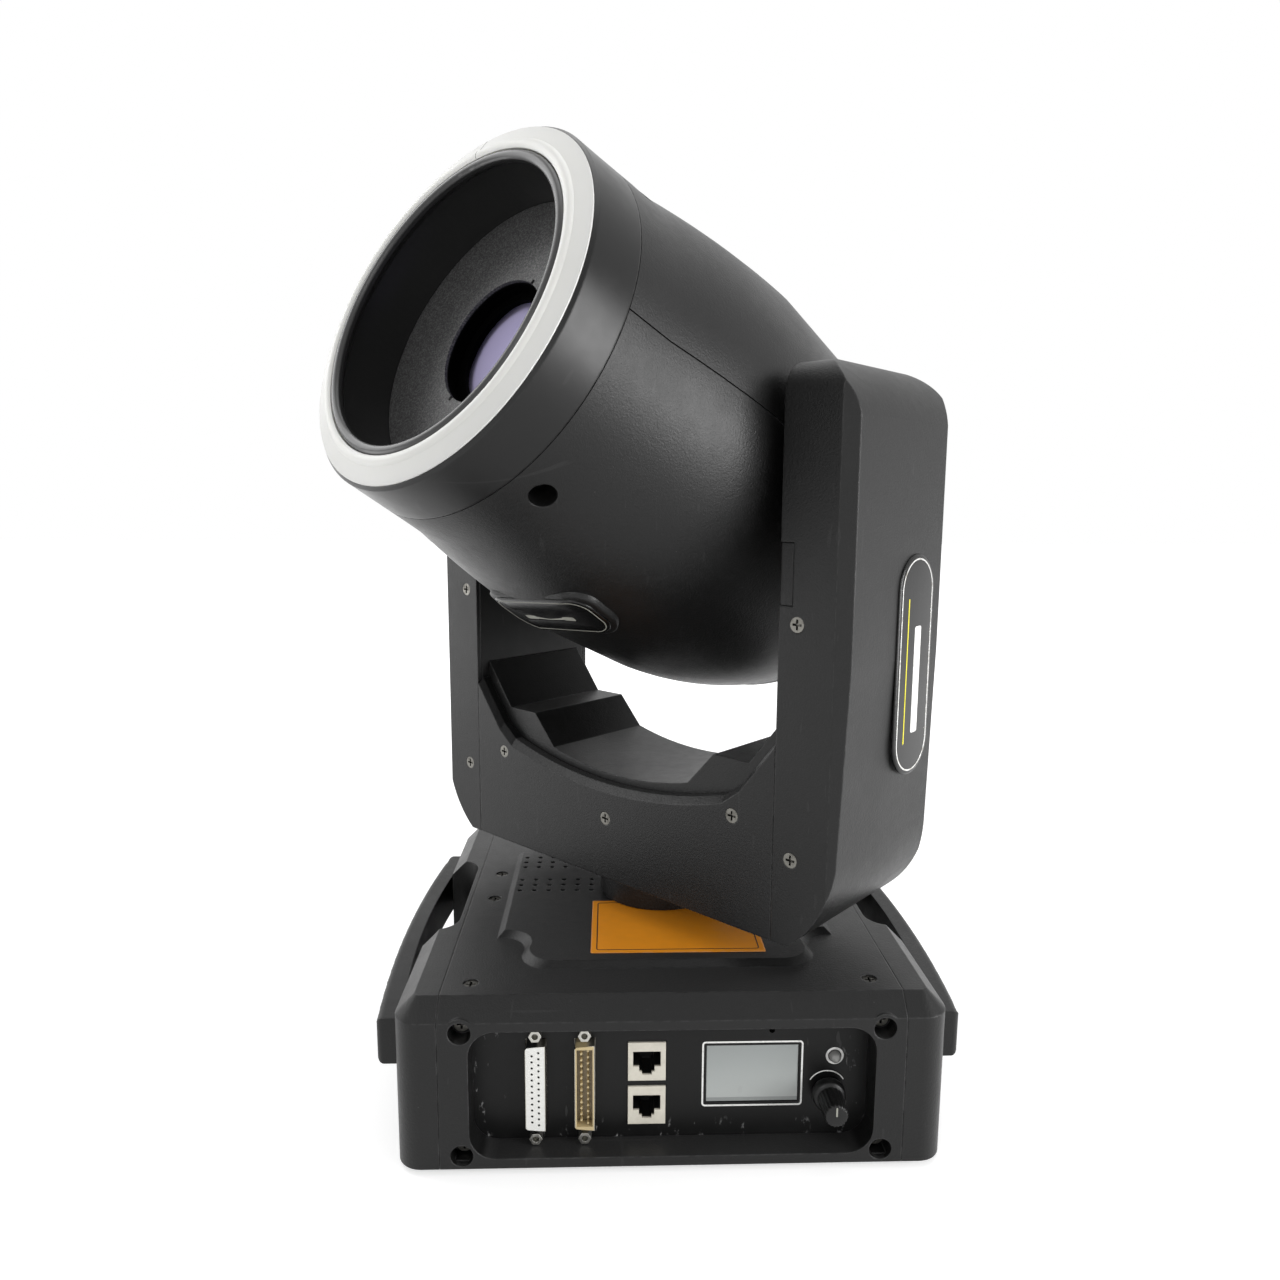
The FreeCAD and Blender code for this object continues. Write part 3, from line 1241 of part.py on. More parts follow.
def yoke_frame():
    """Sheet frame: a floor over the pan flange and two side plates that carry the tilt bearings."""
    floor = box(-YOKE_INNER - FRAME_T, YOKE_INNER + FRAME_T, -FRAME_HALF, FRAME_HALF,
                YOKE_LOW, YOKE_LOW + FRAME_FLOOR_T)
    floor = floor.cut(rod(PAN_SHAFT_BORE, V(0, 0, YOKE_LOW), Z_AXIS, FRAME_FLOOR_T))
    side_wire = arm_side_wire(YOKE_INNER, FRAME_HALF, YOKE_LOW, ARM_TOP - WALL - FIT_GAP,
                              ARM_CORNER_R - WALL)
    plate = prism(side_wire, V(FRAME_T, 0, 0))
    pivot = V(YOKE_INNER, 0, PIVOT_Z)
    seat = V(TILT_BEARING_X, 0, PIVOT_Z)
    boss_l = TILT_BEARING_X + TILT_BEARING_T - YOKE_INNER
    boss = rod(TILT_BEARING_R + TILT_BOSS_WALL, pivot, X_AXIS, boss_l)
    side = fuse(plate, boss)
    side = side.cut(rod(TRUNNION_R + TRUNNION_CLEAR, pivot, X_AXIS, BIG))
    side = side.cut(rod(TILT_BEARING_R, seat, X_AXIS, BIG))
    left = mirror_x(side)
    motor_hole = rod(TILT_MOTOR_HOLE_R, V(YOKE_INNER, 0, TILT_MOTOR_Z), X_AXIS, FRAME_T)
    right = side.cut(motor_hole).cut(lock_slot())
    return fuse(floor, left, right)


def tilt_bearings():
    r = TILT_BEARING_R - PRESS_GAP
    ring = tube(r, TRUNNION_R + RUN_GAP, V(TILT_BEARING_X, 0, PIVOT_Z), X_AXIS, TILT_BEARING_T)
    return Part.Compound([ring, mirror_x(ring)])


def rim_wire(drop, y):
    """Bridge plate's outline, up to the dished rim less the drop."""
    end = YOKE_INNER - FIT_GAP
    low = YOKE_LOW
    knee_x = RIM_SHOULDER_X + (end - RIM_SHOULDER_X) * RIM_KNEE_X
    knee_z = RIM_SHOULDER + (RIM_END - RIM_SHOULDER) * RIM_KNEE_Z - drop
    return outline(
        V(-end, y, low), V(end, y, low), V(end, y, RIM_END - drop), V(knee_x, y, knee_z),
        V(RIM_SHOULDER_X, y, RIM_SHOULDER - drop),
        (V(0, y, RIM_MID - drop), V(-RIM_SHOULDER_X, y, RIM_SHOULDER - drop)),
        V(-knee_x, y, knee_z), V(-end, y, RIM_END - drop))


def bridge_front_plate():
    """Cover in front of the bridge, whose dished rim is bevelled and folded inwards."""
    front = -YOKE_HALF
    bevel = Part.makeLoft([rim_wire(RIM_BEVEL, front), rim_wire(0, front + RIM_BEVEL)], True, True)
    lip = prism(rim_wire(0, front + RIM_BEVEL), V(0, RIM_LIP - RIM_BEVEL, 0))
    plate = fuse(bevel, lip).cut(prism(rim_wire(RIM_T, front + WALL), V(0, RIM_LIP - WALL, 0)))
    for x, z in BRIDGE_SCREWS:
        plate = plate.cut(rod(SCREW_HEAD_R + RUN_GAP, V(x, front - 1, z), Y_AXIS, 1 + SCREW_HEAD_T))
        plate = plate.cut(rod(SCREW_R + RUN_GAP, V(x, front, z), Y_AXIS, WALL))
    return plate


def liner_side(sx, y, drop):
    """Liner's stepped wing at the side sx, from the trough outwards."""
    end = YOKE_INNER - FIT_GAP
    return [V(sx * LINER_STEP_X, y, LINER_STEP - drop), V(sx * LINER_STEP_END_X, y, LINER_STEP - drop),
            V(sx * end, y, LINER_TOP - drop)]


def liner_trough(sx, y, drop):
    """Outline step along the trough's arc to its edge at the side sx."""
    return (V(0, y, LINER_MID - drop), V(sx * LINER_EDGE_X, y, LINER_EDGE - drop))


def bridge_liner():
    """Trough between the arms under the head, stepped up at both sides, with a skirt behind each rim."""
    y = RIM_LIP + FIT_GAP - YOKE_HALF
    end = YOKE_INNER - FIT_GAP
    t = LINER_T
    left_edge = V(-LINER_EDGE_X, y, LINER_EDGE)
    top = [liner_trough(1, y, 0)] + liner_side(1, y, 0)
    left_top = liner_side(-1, y, 0)[::-1]
    under = liner_side(1, y, t)[::-1] + [V(LINER_EDGE_X, y, LINER_EDGE - t), liner_trough(-1, y, t)]
    under += liner_side(-1, y, t)
    sheet = prism(outline(left_edge, *top, *under, *left_top), V(0, -2 * y, 0))
    depth = V(0, LINER_SKIRT_T, 0)
    block = prism(outline(left_edge, *top, V(end, y, YOKE_LOW), V(-end, y, YOKE_LOW), *left_top), depth)
    skirt = block.cut(prism(rim_wire(LINER_SKIRT_DROP, y), depth))
    return fuse(sheet, skirt, mirror_y(skirt))


def yoke_screws():
    screws = []
    for side in (-1, 1):
        for x, y, z, s in arm_screw_points():
            screws.append(screw(V(side * x, y, z), V(0, -s, 0)))
    for x, z in BRIDGE_SCREWS:
        for s in (-1, 1):
            screws.append(screw(V(x, s * YOKE_HALF, z), V(0, -s, 0)))
    return Part.Compound(screws)


def tilt_motor():
    half = MOTOR_SIZE / 2
    face = YOKE_INNER
    body = box(face - TILT_MOTOR_L, face, -half, half, TILT_MOTOR_Z - half, TILT_MOTOR_Z + half)
    body = body.makeChamfer(MOTOR_CHAMFER, [e for e in body.Edges if e.BoundBox.XLength > TINY])
    start = V(face - MOTOR_BORE_DEPTH, 0, TILT_MOTOR_Z)
    return body.cut(rod(MOTOR_BORE_R + RUN_GAP, start, X_AXIS, MOTOR_BORE_DEPTH))


def tilt_drive_pulley():
    at = V(TILT_PULLEY_X, 0, TILT_MOTOR_Z)
    start = YOKE_INNER - MOTOR_SHAFT_L
    stem = rod(MOTOR_BORE_R, V(start, 0, TILT_MOTOR_Z), X_AXIS, TILT_PULLEY_X + PULLEY_T - start)
    return fuse(rod(DRIVE_PULLEY_R, at, X_AXIS, PULLEY_T), stem)


def tilt_belt():
    x = TILT_PULLEY_X + (PULLEY_T - BELT_W) / 2
    return belt(V(x, 0, PIVOT_Z), TILT_PULLEY_R, V(x, 0, TILT_MOTOR_Z), DRIVE_PULLEY_R, X_AXIS)


# Head, in its own frame: exit towards -Y, so a place l along the axis is at y = -l

def at_axis(l, r):
    return V(0, -l, r)


def spin(wire):
    return Part.Face(wire).revolve(V(0, 0, 0), Y_AXIS, 360)


def barrel_wire(inset):
    """Half section of the barrel from its front edge to the rear cap."""
    rear = at_axis(SHELL_REAR, SHELL_REAR_R - inset)
    return outline(
        at_axis(SHELL_FRONT, 0), at_axis(SHELL_FRONT, SHELL_FRONT_R - inset),
        at_axis(SHELL_NECK, SHELL_NECK_R - inset),
        (at_axis(SHELL_FLARE, SHELL_FLARE_R - inset), at_axis(SHELL_BELLY, SHELL_BELLY_R - inset)),
        at_axis(SHELL_WAIST, SHELL_BELLY_R - inset),
        (at_axis(SHELL_TAPER, SHELL_TAPER_R - inset), rear), at_axis(SHELL_REAR, 0))


def side_limit(half):
    return box(-half, half, -BIG, BIG, -BIG, BIG)


def around_axis(angle, l, r):
    a = math.radians(angle)
    return V(r * math.cos(a), -l, r * math.sin(a))


def head_screw_angles():
    a = HEAD_SCREW_ANGLE
    return (a, 180 - a, 180 + a, 360 - a)


def barrel():
    outer = spin(barrel_wire(0)).common(side_limit(HEAD_FLAT_X))
    inner = spin(barrel_wire(WALL)).common(side_limit(HEAD_FLAT_X - WALL))
    shell = outer.cut(inner)
    for angle in head_screw_angles():
        out = around_axis(angle, 0, 1)
        floor = around_axis(angle, HEAD_SCREW_L, HEAD_SCREW_FLOOR_R)
        root = floor - out * HEAD_BOSS_FLOOR
        boss = rod(HEAD_SCREW_BORE_R + HEAD_BOSS_WALL, root, out, HEAD_BOSS_REACH).common(outer)
        shell = fuse(shell, boss)
        shell = shell.cut(rod(HEAD_SCREW_BORE_R, floor, out, HEAD_BOSS_REACH))
        shell = shell.cut(rod(SCREW_R + RUN_GAP, root, out, 2 * HEAD_BOSS_FLOOR))
    hub = rod(TRUNNION_HUB_R + TRUNNION_HUB_GAP, V(-BIG, 0, 0), X_AXIS, 2 * BIG)
    return shell.cut(hub)


def barrel_half(whole, sign):
    keep = box(-BIG, BIG, -BIG, BIG, 0, BIG) if sign > 0 else box(-BIG, BIG, -BIG, BIG, -BIG, 0)
    return whole.common(keep)


def head_bezel():
    """Front ring of the barrel: a face for the light ring, and the hood with its rounded lip."""
    f = BEZEL_FRONT
    wall = HOOD_R + HOOD_T
    lip_edge = LIP_FRONT - LIP_BULGE
    lip_back = LIP_FRONT - LIP_T
    return spin(outline(
        at_axis(SHELL_FRONT, SHELL_FRONT_R), at_axis(f - BEZEL_CHAMFER, BEZEL_FRONT_R),
        at_axis(f, BEZEL_FRONT_R - BEZEL_CHAMFER), at_axis(f, wall), at_axis(lip_edge, wall),
        (at_axis(LIP_FRONT, (wall + LIP_R) / 2), at_axis(lip_edge, LIP_R)),
        at_axis(lip_back, LIP_R), at_axis(lip_back - HOOD_R + LIP_R, HOOD_R),
        at_axis(BAFFLE_BACK, HOOD_R), at_axis(BAFFLE_BACK, wall), at_axis(f - BEZEL_FACE_T, wall),
        at_axis(f - BEZEL_FACE_T, BEZEL_FRONT_R - WALL), at_axis(SHELL_FRONT, SHELL_FRONT_R - WALL)))


def led_ring():
    """Milky light ring on the bezel's face: a sloping outer band that rounds over to the inner wall."""
    inner = HOOD_R + HOOD_T + LED_RING_GAP
    width = LED_RING_R - inner
    band = at_axis(BEZEL_FRONT + LED_RING_T * LED_BAND_RISE, LED_RING_R - width * LED_BAND_SHARE)
    crest = at_axis(BEZEL_FRONT + LED_RING_T, inner + width * LED_CREST_SHARE)
    return spin(outline(
        at_axis(BEZEL_FRONT, LED_RING_R), at_axis(BEZEL_FRONT + LED_EDGE_T, LED_RING_R), band,
        (crest, at_axis(BEZEL_FRONT + LED_RING_T * LED_INNER_RISE, inner)), at_axis(BEZEL_FRONT, inner)))


def front_baffle():
    """Disc across the hood with the beam's aperture, and behind it the stepped holder of the window."""
    disc = rod(HOOD_R - FIT_GAP, at_axis(BAFFLE_BACK, 0), -Y_AXIS, BAFFLE_T)
    disc = disc.cut(rod(APERTURE_R, at_axis(BAFFLE_BACK, 0), -Y_AXIS, BAFFLE_T))
    half = APERTURE_NOTCH / 2
    for angle in (APERTURE_NOTCH_ANGLE, APERTURE_NOTCH_ANGLE + 180):
        notch = box(0, APERTURE_R + APERTURE_NOTCH, -BAFFLE_FRONT, -BAFFLE_BACK, -half, half)
        notch.rotate(V(0, 0, 0), Y_AXIS, -angle)
        disc = disc.cut(notch)
    bore = APERTURE_R + WINDOW_RIM + WINDOW_RIM_GAP
    holder = tube(HOLDER_R, WINDOW_CLEAR_R, at_axis(HOLDER_BACK, 0), -Y_AXIS, BAFFLE_BACK - HOLDER_BACK)
    holder = holder.cut(rod(bore, at_axis(WINDOW_BACK, 0), -Y_AXIS, BAFFLE_BACK - WINDOW_BACK))
    step = tube(HOLDER_R, STEP_R, at_axis(STEP_FRONT - STEP_T, 0), -Y_AXIS, STEP_T)
    return fuse(disc, holder, step)


def exit_window():
    return rod(APERTURE_R + WINDOW_RIM, at_axis(WINDOW_BACK, 0), -Y_AXIS, WINDOW_T)


def cap_wire(inset, open_l):
    rear = CAP_REAR + inset
    k = math.sqrt(0.5)
    bend = at_axis(CAP_SHOULDER + (rear - CAP_SHOULDER) * k,
                   CAP_REAR_R - inset + (CAP_SHOULDER_R - CAP_REAR_R) * k)
    return outline(
        at_axis(open_l, 0), at_axis(open_l, SHELL_REAR_R - inset),
        at_axis(CAP_SHOULDER, CAP_SHOULDER_R - inset),
        (bend, at_axis(rear, CAP_REAR_R - inset)), at_axis(rear, 0))


def rear_cap():
    """Rear end of the barrel with ring slots in front of the fan, crossed by four spokes."""
    cap = spin(cap_wire(0, SHELL_REAR)).cut(spin(cap_wire(WALL, SHELL_REAR)))
    w = CAP_SPOKE_W / 2
    cross = fuse(box(-w, w, -BIG, BIG, -BIG, BIG), box(-BIG, BIG, -BIG, BIG, -w, w))
    for k in range(CAP_SLOTS):
        r = FAN_BORE_R - CAP_SLOT_INSET - k * CAP_SLOT_PITCH
        cap = cap.cut(tube(r, r - CAP_SLOT_W, at_axis(FAN_REAR, 0), Y_AXIS, WALL).cut(cross))
    return cap


def head_screws():
    screws = []
    for angle in head_screw_angles():
        top = around_axis(angle, HEAD_SCREW_L, HEAD_SCREW_FLOOR_R + SCREW_HEAD_T)
        screws.append(screw(top, around_axis(angle, 0, -1)))
    return Part.Compound(screws)


def trunnion(reach):
    """Hollow stub axle: a flange on the chassis, a hub through the shell and a journal in the arm."""
    start = CHASSIS_HALF_W
    flange = rod(TRUNNION_FLANGE_R, V(start, 0, 0), X_AXIS, HEAD_FLAT_X - WALL - FIT_GAP - start)
    hub = rod(TRUNNION_HUB_R, V(start, 0, 0), X_AXIS, (HEAD_FLAT_X + YOKE_INNER) / 2 - start)
    journal = rod(TRUNNION_R, V(start, 0, 0), X_AXIS, reach - start)
    return fuse(flange, hub, journal).cut(rod(TRUNNION_BORE, V(start, 0, 0), X_AXIS, BIG))


def trunnions():
    bearing_end = TILT_BEARING_X + TILT_BEARING_T
    left = mirror_x(trunnion(bearing_end + TRUNNION_TAIL))
    return Part.Compound([trunnion(TILT_PULLEY_X + PULLEY_T), left])


def tilt_pulley():
    return tube(TILT_PULLEY_R, TRUNNION_R + PRESS_GAP, V(TILT_PULLEY_X, 0, 0), X_AXIS, PULLEY_T)


def head_chassis():
    """Optics tray hung between two side plates that bolt to the stub axles."""
    low = CHASSIS_FLOOR - CHASSIS_T
    w = CHASSIS_HALF_W
    half = CHASSIS_SIDE_HALF_L
    tray = box(-TRAY_HALF_W, TRAY_HALF_W, -TRAY_FRONT, -TRAY_REAR, low, CHASSIS_FLOOR)
    wings = box(-w, w, -half, half, low, CHASSIS_FLOOR)
    side = box(w - CHASSIS_T, w, -half, half, low, CHASSIS_SIDE_TOP)
    side = side.cut(rod(TRUNNION_BORE, V(w - CHASSIS_T, 0, 0), X_AXIS, CHASSIS_T))
    return fuse(tray, wings, side, mirror_x(side))


def laser_modules():
    """Red, green and blue laser blocks side by side, with cooling fins on top."""
    blocks = []
    front = LASER_BACK + LASER_L
    top = CHASSIS_FLOOR + LASER_H
    for k in range(LASER_COUNT):
        x = (k - (LASER_COUNT - 1) / 2) * LASER_PITCH
        left = x - LASER_W / 2
        body = box(left, left + LASER_W, -front, -LASER_BACK, CHASSIS_FLOOR, top)
        for n in range(FIN_SLOTS):
            slot = left + FIN_SLOT_W + n * FIN_PITCH
            body = body.cut(box(slot, slot + FIN_SLOT_W, -front + FIN_FRONT_MARGIN,
                                -LASER_BACK - FIN_REAR_MARGIN, top - FIN_DEPTH, top))
        nose = rod(LASER_NOSE_R, V(x, -front, CHASSIS_FLOOR + LASER_H / 2), -Y_AXIS, LASER_NOSE_L)
        blocks.append(fuse(body, nose))
    return Part.Compound(blocks)


def galvo_block():
    """Mount for the two scanner motors: one upright, one lying across."""
    end = Y_GALVO_X + Y_GALVO_CASE_L
    deck = box(-GALVO_R - GALVO_WALL, end, -Y_GALVO_L - GALVO_FRONT_MARGIN, -X_GALVO_L + GALVO_WALL,
               CHASSIS_FLOOR, GALVO_DECK)
    tower = box(Y_GALVO_X, end, -Y_GALVO_L - Y_GALVO_HALF_T, -Y_GALVO_L + Y_GALVO_HALF_T,
                GALVO_DECK, Y_GALVO_U + Y_GALVO_TOP)
    r = GALVO_R + RUN_GAP
    floor = CHASSIS_FLOOR + GALVO_FLOOR_T
    upright = rod(r, V(0, -X_GALVO_L, floor), Z_AXIS, GALVO_DECK - floor)
    across = rod(r, V(Y_GALVO_X, -Y_GALVO_L, Y_GALVO_U), X_AXIS, Y_GALVO_CASE_L - GALVO_FLOOR_T)
    return fuse(deck, tower).cut(upright).cut(across)


def x_galvo():
    floor = CHASSIS_FLOOR + GALVO_FLOOR_T + RUN_GAP
    body = rod(GALVO_R, V(0, -X_GALVO_L, floor), Z_AXIS, GALVO_DECK - floor)
    low = GALVO_DECK + GALVO_MIRROR_GAP
    stem = rod(GALVO_STEM_R, V(0, -X_GALVO_L, GALVO_DECK), Z_AXIS, GALVO_STEM_L)
    w = X_GALVO_MIRROR_W / 2
    mirror = box(-w, w, -GALVO_MIRROR_T / 2, GALVO_MIRROR_T / 2, low, low + X_GALVO_MIRROR_H)
    mirror.rotate(V(0, 0, 0), Z_AXIS, GALVO_MIRROR_ANGLE)
    mirror.translate(V(0, -X_GALVO_L, 0))
    return fuse(body, stem, mirror)


def y_galvo():
    case_l = Y_GALVO_CASE_L - GALVO_FLOOR_T - RUN_GAP
    body = rod(GALVO_R, V(Y_GALVO_X, -Y_GALVO_L, Y_GALVO_U), X_AXIS, case_l)
    half = Y_GALVO_MIRROR_W / 2
    root = half - Y_GALVO_MIRROR_BITE
    stem = rod(GALVO_STEM_R, V(root, -Y_GALVO_L, Y_GALVO_U), X_AXIS, Y_GALVO_X - root)
    h = Y_GALVO_MIRROR_H / 2
    mirror = box(-half, half, -GALVO_MIRROR_T / 2, GALVO_MIRROR_T / 2, -h, h)
    mirror.rotate(V(0, 0, 0), X_AXIS, GALVO_MIRROR_ANGLE)
    mirror.translate(V(0, -Y_GALVO_L, Y_GALVO_U))
    return fuse(body, stem, mirror)


def head_fan_frame():
    """Square fan frame on the rear cap's inside, with a spider that holds the rotor's pin."""
    half = FAN_SIZE / 2
    frame = upright_block(-half, half, -half, half, FAN_CORNER_R, -FAN_FRONT, -FAN_REAR)
    frame = frame.cut(rod(FAN_BORE_R, at_axis(FAN_REAR, 0), -Y_AXIS, FAN_T))
    t = FAN_SPIDER_T
    w = FAN_SPIDER_W / 2
    spider = [rod(FAN_HUB_R - FAN_TIP_GAP, at_axis(FAN_FRONT, 0), Y_AXIS, t)]
    for k in range(FAN_SPIDER_ARMS):
        arm = box(0, FAN_BORE_R + FAN_TIP_GAP, -FAN_FRONT, -FAN_FRONT + t, -w, w)
        arm.rotate(V(0, 0, 0), Y_AXIS, 360.0 * k / FAN_SPIDER_ARMS + FAN_SPIDER_TURN)
        spider.append(arm)
    return fuse(frame, *spider, rod(FAN_PIN_R, at_axis(FAN_FRONT, 0), Y_AXIS, FAN_T - t))


def head_fan_rotor():
    rear = FAN_REAR + FAN_END_GAP
    front = FAN_FRONT - FAN_SPIDER_T - FAN_SPIDER_GAP
    hub = rod(FAN_HUB_R, at_axis(rear, 0), -Y_AXIS, front - rear)
    tip = FAN_BORE_R - FAN_TIP_GAP
    t = FAN_BLADE_T / 2
    blades = []
    for k in range(FAN_BLADES):
        blade = box(0, tip, -front + FAN_BLADE_INSET, -rear - FAN_BLADE_INSET, -t, t)
        blade.rotate(V(0, -(front + rear) / 2, 0), X_AXIS, FAN_BLADE_LEAN)
        blade = blade.common(rod(tip, at_axis(rear, 0), -Y_AXIS, front - rear))
        blade.rotate(V(0, 0, 0), Y_AXIS, 360.0 * k / FAN_BLADES)
        blades.append(blade)
    return fuse(hub, *blades).cut(rod(FAN_PIN_R + RUN_GAP, at_axis(rear, 0), -Y_AXIS, BIG))


def build():
    os.makedirs("parts", exist_ok=True)
    for make in (bottom_plate, rubber_feet, base_shell, right_side_cover, right_handle, control_panel,
                 db25_female, db25_male, rj45_jacks, lcd_module, status_led, encoder_body, encoder_shaft,
                 func_knob, rear_panel, mains_inlet, power_rocker, dmx_sockets, base_screws, power_supply,
                 main_board, pan_motor, pan_drive_pulley, pan_belt, pan_bearing_housing, pan_bearings):
        save(make.__name__, make())
    save("left_side_cover", mirror_x(right_side_cover()))
    save("left_handle", mirror_x(right_handle()))
    for make in (pan_shaft, pan_pulley, turret_collar, yoke_frame, tilt_bearings, bridge_front_plate,
                 bridge_liner, yoke_screws, tilt_motor, tilt_drive_pulley, tilt_belt, tilt_lock):
        save(make.__name__, make(), in_yoke)
    save("bridge_rear_plate", mirror_y(bridge_front_plate()), in_yoke)
    save("left_arm_cover", mirror_x(arm_cover()), in_yoke)
    save("right_arm_cover", arm_cover().cut(lock_slot()), in_yoke)
    whole = barrel()
    save("upper_shell", barrel_half(whole, 1), in_head)
    save("lower_shell", barrel_half(whole, -1), in_head)
    for make in (head_bezel, led_ring, front_baffle, exit_window, rear_cap, head_screws, trunnions,
                 tilt_pulley, head_chassis, laser_modules, galvo_block, x_galvo, y_galvo, head_fan_frame,
                 head_fan_rotor):
        save(make.__name__, make(), in_head)


build()
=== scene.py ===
import json
import math
import bmesh
import bpy
from mathutils import Matrix, Vector


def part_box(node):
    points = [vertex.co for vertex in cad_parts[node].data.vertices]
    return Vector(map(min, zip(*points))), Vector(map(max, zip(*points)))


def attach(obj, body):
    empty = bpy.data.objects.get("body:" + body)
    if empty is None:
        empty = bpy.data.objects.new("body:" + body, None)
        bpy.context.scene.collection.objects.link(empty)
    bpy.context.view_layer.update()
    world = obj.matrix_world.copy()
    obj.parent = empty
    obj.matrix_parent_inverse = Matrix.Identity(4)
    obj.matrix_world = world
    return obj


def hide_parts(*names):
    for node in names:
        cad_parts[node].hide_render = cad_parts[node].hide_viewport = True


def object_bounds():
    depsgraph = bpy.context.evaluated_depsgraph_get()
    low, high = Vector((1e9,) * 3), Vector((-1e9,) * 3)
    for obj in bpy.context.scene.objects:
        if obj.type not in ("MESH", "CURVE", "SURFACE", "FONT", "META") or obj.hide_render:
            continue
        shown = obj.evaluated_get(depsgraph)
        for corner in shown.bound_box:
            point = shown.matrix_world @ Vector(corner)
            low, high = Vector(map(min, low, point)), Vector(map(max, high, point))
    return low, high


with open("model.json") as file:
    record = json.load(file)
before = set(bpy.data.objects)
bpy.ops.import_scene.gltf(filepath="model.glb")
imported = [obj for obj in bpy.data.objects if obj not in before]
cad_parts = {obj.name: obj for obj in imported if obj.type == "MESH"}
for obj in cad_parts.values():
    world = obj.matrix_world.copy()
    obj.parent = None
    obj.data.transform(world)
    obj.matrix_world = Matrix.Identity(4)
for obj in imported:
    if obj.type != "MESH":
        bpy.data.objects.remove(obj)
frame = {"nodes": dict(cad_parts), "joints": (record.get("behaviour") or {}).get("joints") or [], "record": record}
cad_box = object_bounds()

# Axes of the yoke and the head at rest, taken from the joints
MM = 0.001
JOINTS = {joint["name"]: joint for joint in frame["joints"]}
PIVOT = Vector(JOINTS["tilt"]["pos_m"])
TILT_X = -Vector(JOINTS["tilt"]["axis"])
BEAM = Vector(JOINTS["head_fan_spin"]["axis"])
HEAD_UP = TILT_X.cross(-BEAM)
UP = Vector((0, 0, 1))
UPRIGHT = Matrix.Rotation(math.radians(90), 4, "X")


def local_frame(x, y, origin):
    """Matrix from millimetres along x, y and their normal to metres in the part's frame."""
    z = x.cross(y)
    turn = Matrix((x, y, z)).transposed() * MM
    return Matrix.Translation(origin) @ turn.to_4x4()


BASE = local_frame(Vector((1, 0, 0)), Vector((0, 1, 0)), Vector())
YOKE = local_frame(TILT_X, UP.cross(TILT_X), Vector())
HEAD = local_frame(TILT_X, -BEAM, PIVOT)
RING = local_frame(TILT_X, BEAM.cross(TILT_X), PIVOT)

# Camera, as fitted to the photograph, with its place in millimetres
CAMERA_PLACE = Vector((-26.62, -464.02, 276.02))
CAMERA_YAW = math.radians(1.91)
CAMERA_PITCH = math.radians(8.44)
CAMERA_ROLL = math.radians(-0.31)
FOCAL_PIXELS = 927.35
IMAGE_PIXELS = 1280
SENSOR_MM = 36.0
CLIP_START_M = 0.01

# Trim on the base, in millimetres
PRINT_T = 0.06
STICKER_CENTRE = (4.5, -45.5)
STICKER_SIZE = (79.0, 55.0)
STICKER_CORNER = 0.8
STICKER_T = 0.18
STICKER_LINE_INSET = 2.5
STICKER_LINE_CORNER = 1.5
STICKER_LINE = 0.5
DISPLAY_FRAME_SIZE = (43.6, 30.2)
DISPLAY_FRAME_CORNER = 1.6
DISPLAY_FRAME_LINE = 0.75
LAMP_RING_R = 3.9
LAMP_RING_LINE = 1.0
KNOB_ARC_R = 8.6
KNOB_ARC_LINE = 0.45
KNOB_ARC_ENDS = (math.radians(30), math.radians(150))

# Knob: its skirt as (inset, height) points, its end as (inset, drop) points, and the points with flutes
KNOB_SKIRT = ((0.15, 0.0), (0.0, 0.3), (0.3, 3.2), (0.9, 3.9), (1.8, 4.2), (1.75, 4.8))
KNOB_END = ((2.2, 1.0), (2.5, 0.3), (2.9, 0.0))
FLUTED_POINTS = (6, 7, 8)
KNOB_FLUTES = 20
FLUTE_STEPS = 8
FLUTE_DEPTH = 0.32
POINTER_WIDTH = 0.7
POINTER_CORNER = 0.3
POINTER_INSET = 3.2
POINTER_HALF_T = 0.05

# Network jack contacts
CONTACT_COUNT = 8
CONTACT_PITCH = 1.02
CONTACT_SIZE = (0.4, 7.5)
CONTACT_HALF_T = 0.15
CONTACT_LEAN = math.radians(-16)
CONTACT_DEPTH = 6.5
CONTACT_DROP = 1.2

# Arm badges; a dome is (inset, height) levels, and a lift is a low and a high level
ARM_BADGE_CENTRE = (14.0, 208.0)
ARM_BADGE_SIZE = (30.8, 95.0)
ARM_BADGE_DOME = ((0, 0.0), (0, 0.5), (0.25, 0.8), (0.9, 1.0), (3.5, 1.15))
ARM_KEYLINE_INSET = 1.8
ARM_KEYLINE = 0.7
ARM_KEYLINE_LIFT = (1.0, 1.16)
ARM_PRINT_LEVELS = ((0, 1.1), (0, 1.22))
ARM_BAR_CENTRE = (1.5, -6.0)
ARM_BAR_SIZE = (5.6, 46.0)
ARM_BAR_CORNER = 1.2
ARM_LINE_CENTRE = (-7.5, -2.0)
ARM_LINE_SIZE = (0.8, 62.0)
ARM_LINE_CORNER = 0.3
ARM_BADGE_STEPS = 14

